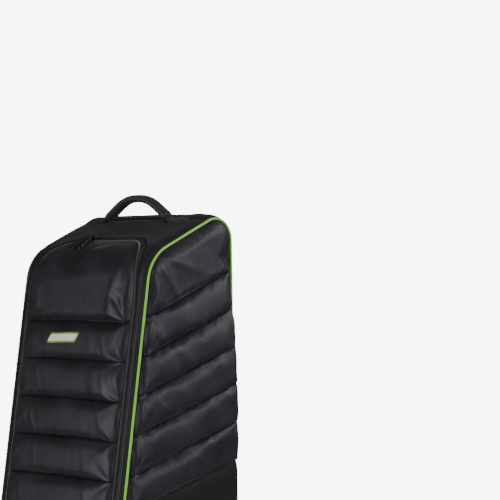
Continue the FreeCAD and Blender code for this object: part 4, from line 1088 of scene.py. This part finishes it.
def moved(shape, matrix):
    """A shape's vertices and faces, put where the matrix says."""
    verts, faces = shape
    rotation = np.array(matrix.to_3x3())
    return verts @ rotation.T + np.array(matrix.translation), faces


def bar(places, radius, side=(0, 1, 0), count=10):
    """A round bar through the places."""
    places = np.asarray(places, float)
    return strip(tube_rings(places, travel(places), np.array(side, float), oval(radius, radius, count)))


def stitches(places, ups, pitch=0.0042, length=0.0030, thick=0.0009):
    """Thread showing along a line: short rounded bars that dip at both ends."""
    places, ups = np.asarray(places), np.asarray(ups)
    along = lengths(places)
    parts = []
    for start in np.arange(pitch / 2, along[-1] - length, pitch):
        at = start + length * np.array((0, 0.2, 0.8, 1))
        centre = np.stack([np.interp(at, along, places[:, i]) for i in range(3)], axis=1)
        up = np.stack([np.interp(at, along, ups[:, i]) for i in range(3)], axis=1)
        centre = centre + up * np.array((-0.5, 0.15, 0.15, -0.5))[:, None] * thick
        side = np.cross(unit(centre[-1] - centre[0]), up[1])
        parts.append(bar(centre, thick / 2, side, 6))
    return parts


def crossed_box(near, far, place_of, up):
    """Stitches round a box and along its two diagonals.  place_of gives places from x, near to far, and
    v, -1 to 1 across."""
    marks = [(near, -1), (far, -1), (far, 1), (near, 1), (near, -1), (far, 1), (far, -1), (near, 1)]
    parts = []
    for (x0, v0), (x1, v1) in zip(marks, marks[1:]):
        t = np.linspace(0, 1, 12)
        line = place_of(x0 + (x1 - x0) * t, v0 + (v1 - v0) * t)
        parts += stitches(line, np.broadcast_to(up, line.shape))
    return parts


# ---- carrying handle -----------------------------------------------------------------------------------

HANDLE_Y = 0.099
HANDLE_ROOT = (0.101, 1.2750)
HANDLE_TOP = (0.032, 1.3200)
HANDLE_BEND = 0.095                # the grip's two bends, nearly one arch


def yoke_place(x, s, proud):
    """A place that stands proud of the padded yoke."""
    return skin(x, s, crown(x) + proud)


def make_handle():
    """The padded grip with its stitching, standing on two webbing roots."""
    root, top = HANDLE_ROOT, HANDLE_TOP
    flat, flat_way, _ = rounded(((-root[0], root[1]), (-top[0], top[1]), top, root),
                                (HANDLE_BEND, HANDLE_BEND), 0.003)
    places = np.insert(flat, 1, HANDLE_Y, axis=1)
    ways = np.insert(flat_way, 1, 0, axis=1)
    along, buried = lengths(places), 0.0065
    kept = (along > buried) & (along < along[-1] - buried)
    places, ways, along = places[kept], ways[kept], along[kept]
    across = np.array((0, 1.0, 0))
    rings = tube_rings(places, ways, across, oval(0.0083, 0.0134, 24, 0.8))
    to_end = np.minimum(along - along[0], along[-1] - along)
    scale = 0.80 + 0.20 * np.sqrt(np.clip(to_end / 0.010, 0, 1)) + 0.012 * ripple(along, 0.02, 90)
    grip = ring_piece("padded_grip", thickened(places, rings, scale), GRIP_CLOTH, slot="handle_fabric",
                      levels=1)
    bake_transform(grip)
    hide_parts("handle_grip")
    outward = np.cross(ways, across)
    parts = []
    for face in (-1, 1):
        line = places + across * face * 0.0131 * scale[:, None] - outward * 0.0030
        parts += stitches(line[2:-2], np.broadcast_to(across * face, line.shape)[2:-2])
    thread = mesh_piece("grip_stitching", joined(parts), [THREAD], slot="handle_fabric")
    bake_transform(thread)
    webs = [make_root_web(side, sign) for side, sign in SIDES]
    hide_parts("handle_webbing", "handle_anchors")


def make_root_web(side, sign):
    """Webbing sewn flat on the yoke, turning up into the grip."""
    s = float(s_slope(HANDLE_Y))
    lie = [yoke_place(x, s, 0.0004) for x in (0.147, 0.136, 0.125, 0.114, 0.105)]
    rise = [(0.0955, HANDLE_ROOT[1] + 0.0018), (0.078, HANDLE_ROOT[1] + 0.0118)]
    line = np.array([(p[0], p[2]) for p in lie] + rise)
    share = np.linspace(0, 1, 30)
    cut = lengths(line)
    line = np.stack([np.interp(share, cut / cut[-1], line[:, i]) for i in (0, 1)], axis=1)
    for _ in range(6):
        line[1:-1] = (line[:-2] + 2 * line[1:-1] + line[2:]) / 4
    places = np.stack((sign * line[:, 0], np.full(len(share), HANDLE_Y), line[:, 1]), axis=1)
    ways = travel(places)
    turn = SLOPE * (1 - smooth((share - 0.45) / 0.4))
    side_way = np.stack((0 * turn, np.cos(turn), np.sin(turn)), axis=1)
    up = np.cross(ways, side_way)
    up *= np.sign(up[:, 2:])
    half = np.where(share < 0.5, 0.0125, 0.0125 - 0.0030 * smooth((share - 0.5) / 0.3))
    section = np.array(((1, -1), (1, -0.5), (1, 0), (1, 0.5), (1, 1), (-1, 1), (-1, 0), (-1, -1)))
    rings = places[:, None] + up[:, None] * (section[None, :, :1] * 0.0007) \
        + side_way[:, None] * (section[None, :, 1:] * half[:, None, None])
    web = ring_piece(f"{side}_handle_root", rings, GRIP_CLOTH, slot="webbing")
    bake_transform(web)
    # a box with crossed diagonals sewn through the webbing
    near, far, reach = 0.109, 0.143, 0.0100
    slope_way, slope_up = (0, math.cos(SLOPE), math.sin(SLOPE)), (0, -math.sin(SLOPE), math.cos(SLOPE))

    def on_web(x, v):
        return yoke_place(sign * x, s, 0.0011) + v[:, None] * slope_way * reach

    thread = joined(crossed_box(near, far, on_web, slope_up))
    mesh_piece(f"{side}_anchor_stitching", thread, [THREAD], body="case", slot="webbing")
    return web


# ---- sliders and pulls ---------------------------------------------------------------------------------

PIN_HEIGHT = 0.0092


def make_slider(side, sign):
    """A slider's casting on the chain: two plates, ribs and the arched bar that holds its pull."""
    low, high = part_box(f"{side}_slider")
    x = (low.x + high.x) / 2
    chain = skin(x, s_of_q(ZIP_TOP), CHAIN_D)
    frame_of = Matrix.Translation(chain) @ Matrix.Rotation(SLOPE, 4, "X")
    parts = [block((0.0178, 0.0112, 0.0026), (0, 0, 0.0037), 0.0010),
             block((0.0108, 0.0150, 0.0026), (sign * 0.0030, 0, 0.0037), 0.0010),
             block((0.0088, 0.0013, 0.0040), (0, -0.0069, 0.0010), 0.0005),
             block((0.0088, 0.0013, 0.0022), (0, 0.0069, 0.0016), 0.0005)]
    for y in (-0.0048, 0.0048):
        rib = ((-0.0076, y, 0.0050), (-0.0034, y, 0.0066), (0.0034, y, 0.0066), (0.0076, y, 0.0050))
        parts.append(bar(rib, 0.0011))
    arch, _, _ = rounded(((-0.0047, 0.0040), (-0.0047, PIN_HEIGHT), (0.0047, PIN_HEIGHT), (0.0047, 0.0040)),
                         (0.0011, 0.0011), 0.0006)
    parts.append(bar(np.insert(arch, 1, 0, axis=1), 0.0010, count=12))
    for end in (-1, 1):
        parts.append(block((0.0022, 0.0050, 0.0040), (end * 0.0047, 0, 0.0060), 0.0007))
    casting = mesh_piece(f"{side}_slider_casting", moved(joined(parts), frame_of), [SLIDER],
                         body=f"{side}_slider", slot="slider_metal")
    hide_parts(f"{side}_slider")
    make_pull(side, frame_of @ Matrix.Translation((0, 0, PIN_HEIGHT)))


def make_pull(side, frame_of):
    """An eye on the slider's bar, a moulded neck, a ribbed tab that droops on the lid, and a glossy tip."""
    length, half_wide = 0.0475, 0.0085
    eye = turned_ring(((-0.0028, 0.0014), (-0.0028, 0.0021), (-0.0022, 0.0025), (0.0022, 0.0025),
                       (0.0028, 0.0021), (0.0028, 0.0014)), 20)
    low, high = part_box(f"{side}_pull")
    x, chain_s = (low.x + high.x) / 2, float(s_of_q(ZIP_TOP))

    def tab(start, end, grow, ribs):
        """One stretch of the pull, rounded off at both of its ends and draped over the lid's bend."""
        y = np.linspace(start, end, 44)
        neck = smooth((y - 0.0060) / 0.0115)
        round_tip = np.sqrt(np.clip(1 - np.clip((y - (length - 0.009)) / 0.009, 0, 1) ** 2, 0, 1))
        ends = np.sqrt(np.clip(np.minimum(y - start, end - y) / 0.0008, 0.15, 1))
        width = ((0.0026 + (half_wide - 0.0026) * neck) * np.maximum(round_tip, 0.1) + grow) * ends
        wave = 0.0006 * np.sin(y * 2 * math.pi / 0.0052) * ribs
        thick = (0.0016 + 0.0020 * neck + grow + wave) * ends * np.maximum(round_tip, 0.35)
        stand = CHAIN_D + PIN_HEIGHT - 0.0022 * smooth(y / 0.020) + 0.0010 * np.sin(y * 80)
        places = skin(x, chain_s - y, stand)
        unit_rings = tube_rings(places, travel(places), ACROSS, oval(1, 1, 20, 0.55))
        away = unit_rings - places[:, None]
        across, up = away * ACROSS, away * (1 - ACROSS)
        return strip(places[:, None] + across * width[:, None, None] + up * thick[:, None, None])

    middle = tab(0.0125, length - 0.0085, 0.0, 1)
    mesh_piece(f"{side}_pull_tab", middle, [PULL_WEAVE], body=f"{side}_pull", slot="pull")
    neck_and_tip = tab(0.0018, 0.0150, 0.0004, 0), tab(length - 0.0115, length, 0.0005, 0)
    ends = joined([moved(eye, frame_of), *neck_and_tip])
    pull = mesh_piece(f"{side}_pull_ends", ends, [PULL], body=f"{side}_pull", slot="pull")
    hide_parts(f"{side}_pull")


def make_stops_and_hinge():
    """The metal stops at the zipper's lower ends, and the lid's sewn hinge."""
    low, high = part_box("zipper_stops")
    parts = []
    for sign in (-1, 1):
        x = sign * (high.x - 0.0019)
        for z in (low.z + 0.0018, high.z - 0.0018):
            parts.append(block((0.0038, high.y - low.y, 0.0030), (x, (low.y + high.y) / 2, z), 0.0008))
        parts.append(block((0.0026, high.y - low.y - 0.0008, high.z - low.z),
                           (x, (low.y + high.y) / 2, (low.z + high.z) / 2), 0.0006))
    stops = mesh_piece("bottom_stops", joined(parts), [STEEL], body="case", slot="steel")
    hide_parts("zipper_stops")
    # the strip of tape on which the lid folds down
    s, x = np.meshgrid(np.linspace(float(s_front(HINGE_Z - 0.013)), HINGE_S + 0.004, 16),
                       np.linspace(-0.158, 0.158, 60), indexing="ij")
    curve = 0.0074 + 0.0006 * smooth((s - HINGE_S + 0.004) / 0.004) + 0.0002 * ripple(x, 0.02, 95)
    tape = panel("hinge_tape", skin(x, s, curve + 0.0008), skin(x, s, curve), [TAPE],
                 np.stack((x, s), axis=-1), None, "zipper_tape", levels=0)
    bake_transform(tape)
    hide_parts("lid_hinge_tape")


# ---- base, wheels and inside ---------------------------------------------------------------------------

def make_wheel(side):
    """A tyre with two grooves on a six-spoked hub."""
    low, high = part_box(f"{side}_tyre")
    centre = Matrix.Translation((low + high) / 2)
    radius, half = (high.z - low.z) / 2, (high.x - low.x) / 2
    inner = 0.025
    groove = [(-half * 0.42, radius), (-half * 0.36, radius - 0.0018), (-half * 0.24, radius - 0.0018),
              (-half * 0.18, radius)]
    section = [(-half, inner), (-half, radius - 0.0075), (-half + 0.0008, radius - 0.0045),
               (-half + 0.0028, radius - 0.0018), (-half + 0.0055, radius - 0.0003)]
    right_half = [(-x, r) for x, r in reversed(section + groove)]
    tread = moved(turned_ring(section + groove + right_half, 96), centre)
    tyre = mesh_piece(f"{side}_grooved_tyre", tread, [TYRE], body=f"{side}_wheel", slot="tyre")
    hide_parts(f"{side}_tyre")
    rim = turned_ring([(-half + 0.0006, 0.0212), (-half, 0.0220), (-half, inner - 0.0001),
                       (half, inner - 0.0001), (half, 0.0220), (half - 0.0006, 0.0212)], 72)
    boss = turned_ring([(-half, 0.0111), (-half, 0.0136), (-half + 0.0008, 0.0144), (half - 0.0008, 0.0144),
                        (half, 0.0136), (half, 0.0111)], 48)
    disc = turned_ring([(-0.0016, 0.0140), (-0.0016, 0.0218), (0.0016, 0.0218), (0.0016, 0.0140)], 48)
    parts = [rim, boss, disc]
    for i in range(6):
        spoke = block((half * 1.5, 0.0042, 0.0088), (0, 0, 0.0177), 0.0009)
        parts.append(moved(spoke, Matrix.Rotation(i * math.pi / 3, 4, "X")))
    hub = mesh_piece(f"{side}_spoked_hub", moved(joined(parts), centre), [HUB], body=f"{side}_wheel",
                     slot="hub_plastic")
    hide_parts(f"{side}_hub")


def make_rivets():
    """The domed rivets through the tray's two side walls."""
    low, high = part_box("tray_rivets")
    places = sorted({round(v.co.y, 3) for v in frame["nodes"]["tray_rivets"].data.vertices})
    rows = [places[0] + 0.005 + i * (places[-1] - places[0] - 0.010) / 4 for i in range(5)]
    z = (low.z + high.z) / 2
    parts = []
    for sign in (-1, 1):
        dome = turned_ring([(0.0, 0.0049), (0.0007, 0.0050), (0.0014, 0.0041), (0.0019, 0.0024),
                            (0.0020, 0.0008), (-0.003, 0.0008), (-0.003, 0.0018), (0.0, 0.0018)], 24)
        for y in rows:
            face = Matrix.Translation((sign * (high.x - 0.002), y, z)) @ Matrix.Scale(sign, 4, (1, 0, 0))
            parts.append(moved(dome, face))
    rivets = mesh_piece("domed_rivets", joined(parts), [STEEL], body="case", slot="steel")
    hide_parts("tray_rivets")


def make_pads():
    """The foam on the tray floor and under the top."""
    low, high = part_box("floor_pad")
    y, x = np.meshgrid(np.linspace(low.y, high.y, 28), np.linspace(low.x, high.x, 36), indexing="ij")
    edge = np.minimum(np.minimum(x - low.x, high.x - x), np.minimum(y - low.y, high.y - y))
    dimple = 0.0012 * np.cos(x * 2 * math.pi / 0.05) * np.cos(y * 2 * math.pi / 0.05)
    z = high.z - 0.004 * np.exp(-edge / 0.005) - 0.0008 + dimple * smooth(edge / 0.02)
    top = np.stack((x, y, z), axis=-1)
    pad = panel("floor_foam", top, np.stack((x, y, 0 * x + low.z), axis=-1), [FOAM],
                np.stack((x, y), axis=-1), "case", "foam", levels=0)
    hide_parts("floor_pad")
    low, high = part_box("crown_pad")
    back_low = float(s_back(1.225))
    s, x = np.meshgrid(np.linspace(float(s_slope(0.060)), back_low, 26), np.linspace(low.x, high.x, 36),
                       indexing="ij")
    edge = np.minimum(np.minimum(x - low.x, high.x - x), np.minimum(s - s[0, 0], back_low - s))
    thin = 0.004 * np.exp(-edge / 0.006)
    crown_foam = panel("crown_foam", skin(x, s, -0.0032), skin(x, s, -0.0135 + thin), [FOAM],
                       np.stack((x, s), axis=-1), "case", "foam", levels=0)
    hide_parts("crown_pad")


def make_strap(level):
    """Two lengths of webbing on the back board, each sewn down at its outer end and bowed to its buckle."""
    low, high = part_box(f"{level}_strap")
    buckle_low, buckle_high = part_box(f"{level}_buckle_socket")
    inner = (buckle_high.x - buckle_low.x) / 2 + 0.006
    middle, half_wide, half_thick = (low.z + high.z) / 2, (high.z - low.z) / 2, (high.y - low.y) / 2
    straps, threads = [], []
    section = oval(half_thick, half_wide, 16, 0.35)
    for sign in (-1, 1):
        t = np.linspace(0, 1, 40)
        x = sign * (inner + (high.x - inner) * t)
        bow = 0.0030 * np.sin(math.pi * np.clip(t / 0.78, 0, 1)) ** 1.3
        tip = 0.0012 * np.sin(9 * t + sign) * smooth(t / 0.1) * smooth((0.8 - t) / 0.1)
        places = np.stack((x, (low.y + high.y) / 2 - bow, middle + tip), axis=1)
        straps.append(tube_rings(places, travel(places), np.array((0, 0, 1.0)), section))

        def on_strap(x, v, sign=sign):
            return np.stack((sign * x, 0 * x + low.y - 0.0002, middle + (half_wide - 0.005) * v), axis=1)

        threads += crossed_box(high.x - 0.030, high.x - 0.005, on_strap, (0, -1.0, 0))
    webs = joined([strip(rings) for rings in straps])
    uv = np.concatenate([strip_uv(rings) for rings in straps])
    strap = mesh_piece(f"{level}_inside_strap", webs, [WEBBING], uv=uv, body="case", slot="webbing")
    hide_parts(f"{level}_strap")
    mesh_piece(f"{level}_strap_stitching", joined(threads), [THREAD], body="case", slot="webbing")


make_zipper()
make_lid()
make_border()
make_yoke_back_and_foot()
make_foot_hem()
make_handle()
make_stops_and_hinge()
make_rivets()
make_pads()
make_strap("upper")
make_strap("lower")
for side, sign in SIDES:
    make_side(side, sign)
    make_piping(side, sign)
    make_slider(side, sign)
    make_wheel(side)

# ---- carried-over parts ------------------------------------------------------------------------------

BY_SLOT = {
    "shell_fabric": NYLON, "lower_fabric": LOWER, "lining": LINING, "foam": FOAM, "piping": PIPING,
    "zipper_coil": COIL, "zipper_tape": TAPE, "binding": BINDING, "slider_metal": SLIDER, "pull": PULL,
    "badge": BADGE, "handle_fabric": GRIP_CLOTH, "webbing": WEBBING, "tray_plastic": TRAY,
    "board_plastic": BOARD, "buckle_plastic": BUCKLE, "tyre": TYRE, "hub_plastic": HUB, "steel": STEEL,
    "foot_rubber": RUBBER}
for subpart in frame["record"]["subparts"]:
    shown = frame["nodes"][subpart["node"]]
    for material_slot in shown.material_slots:
        material_slot.material = BY_SLOT[subpart["material_slot"]]
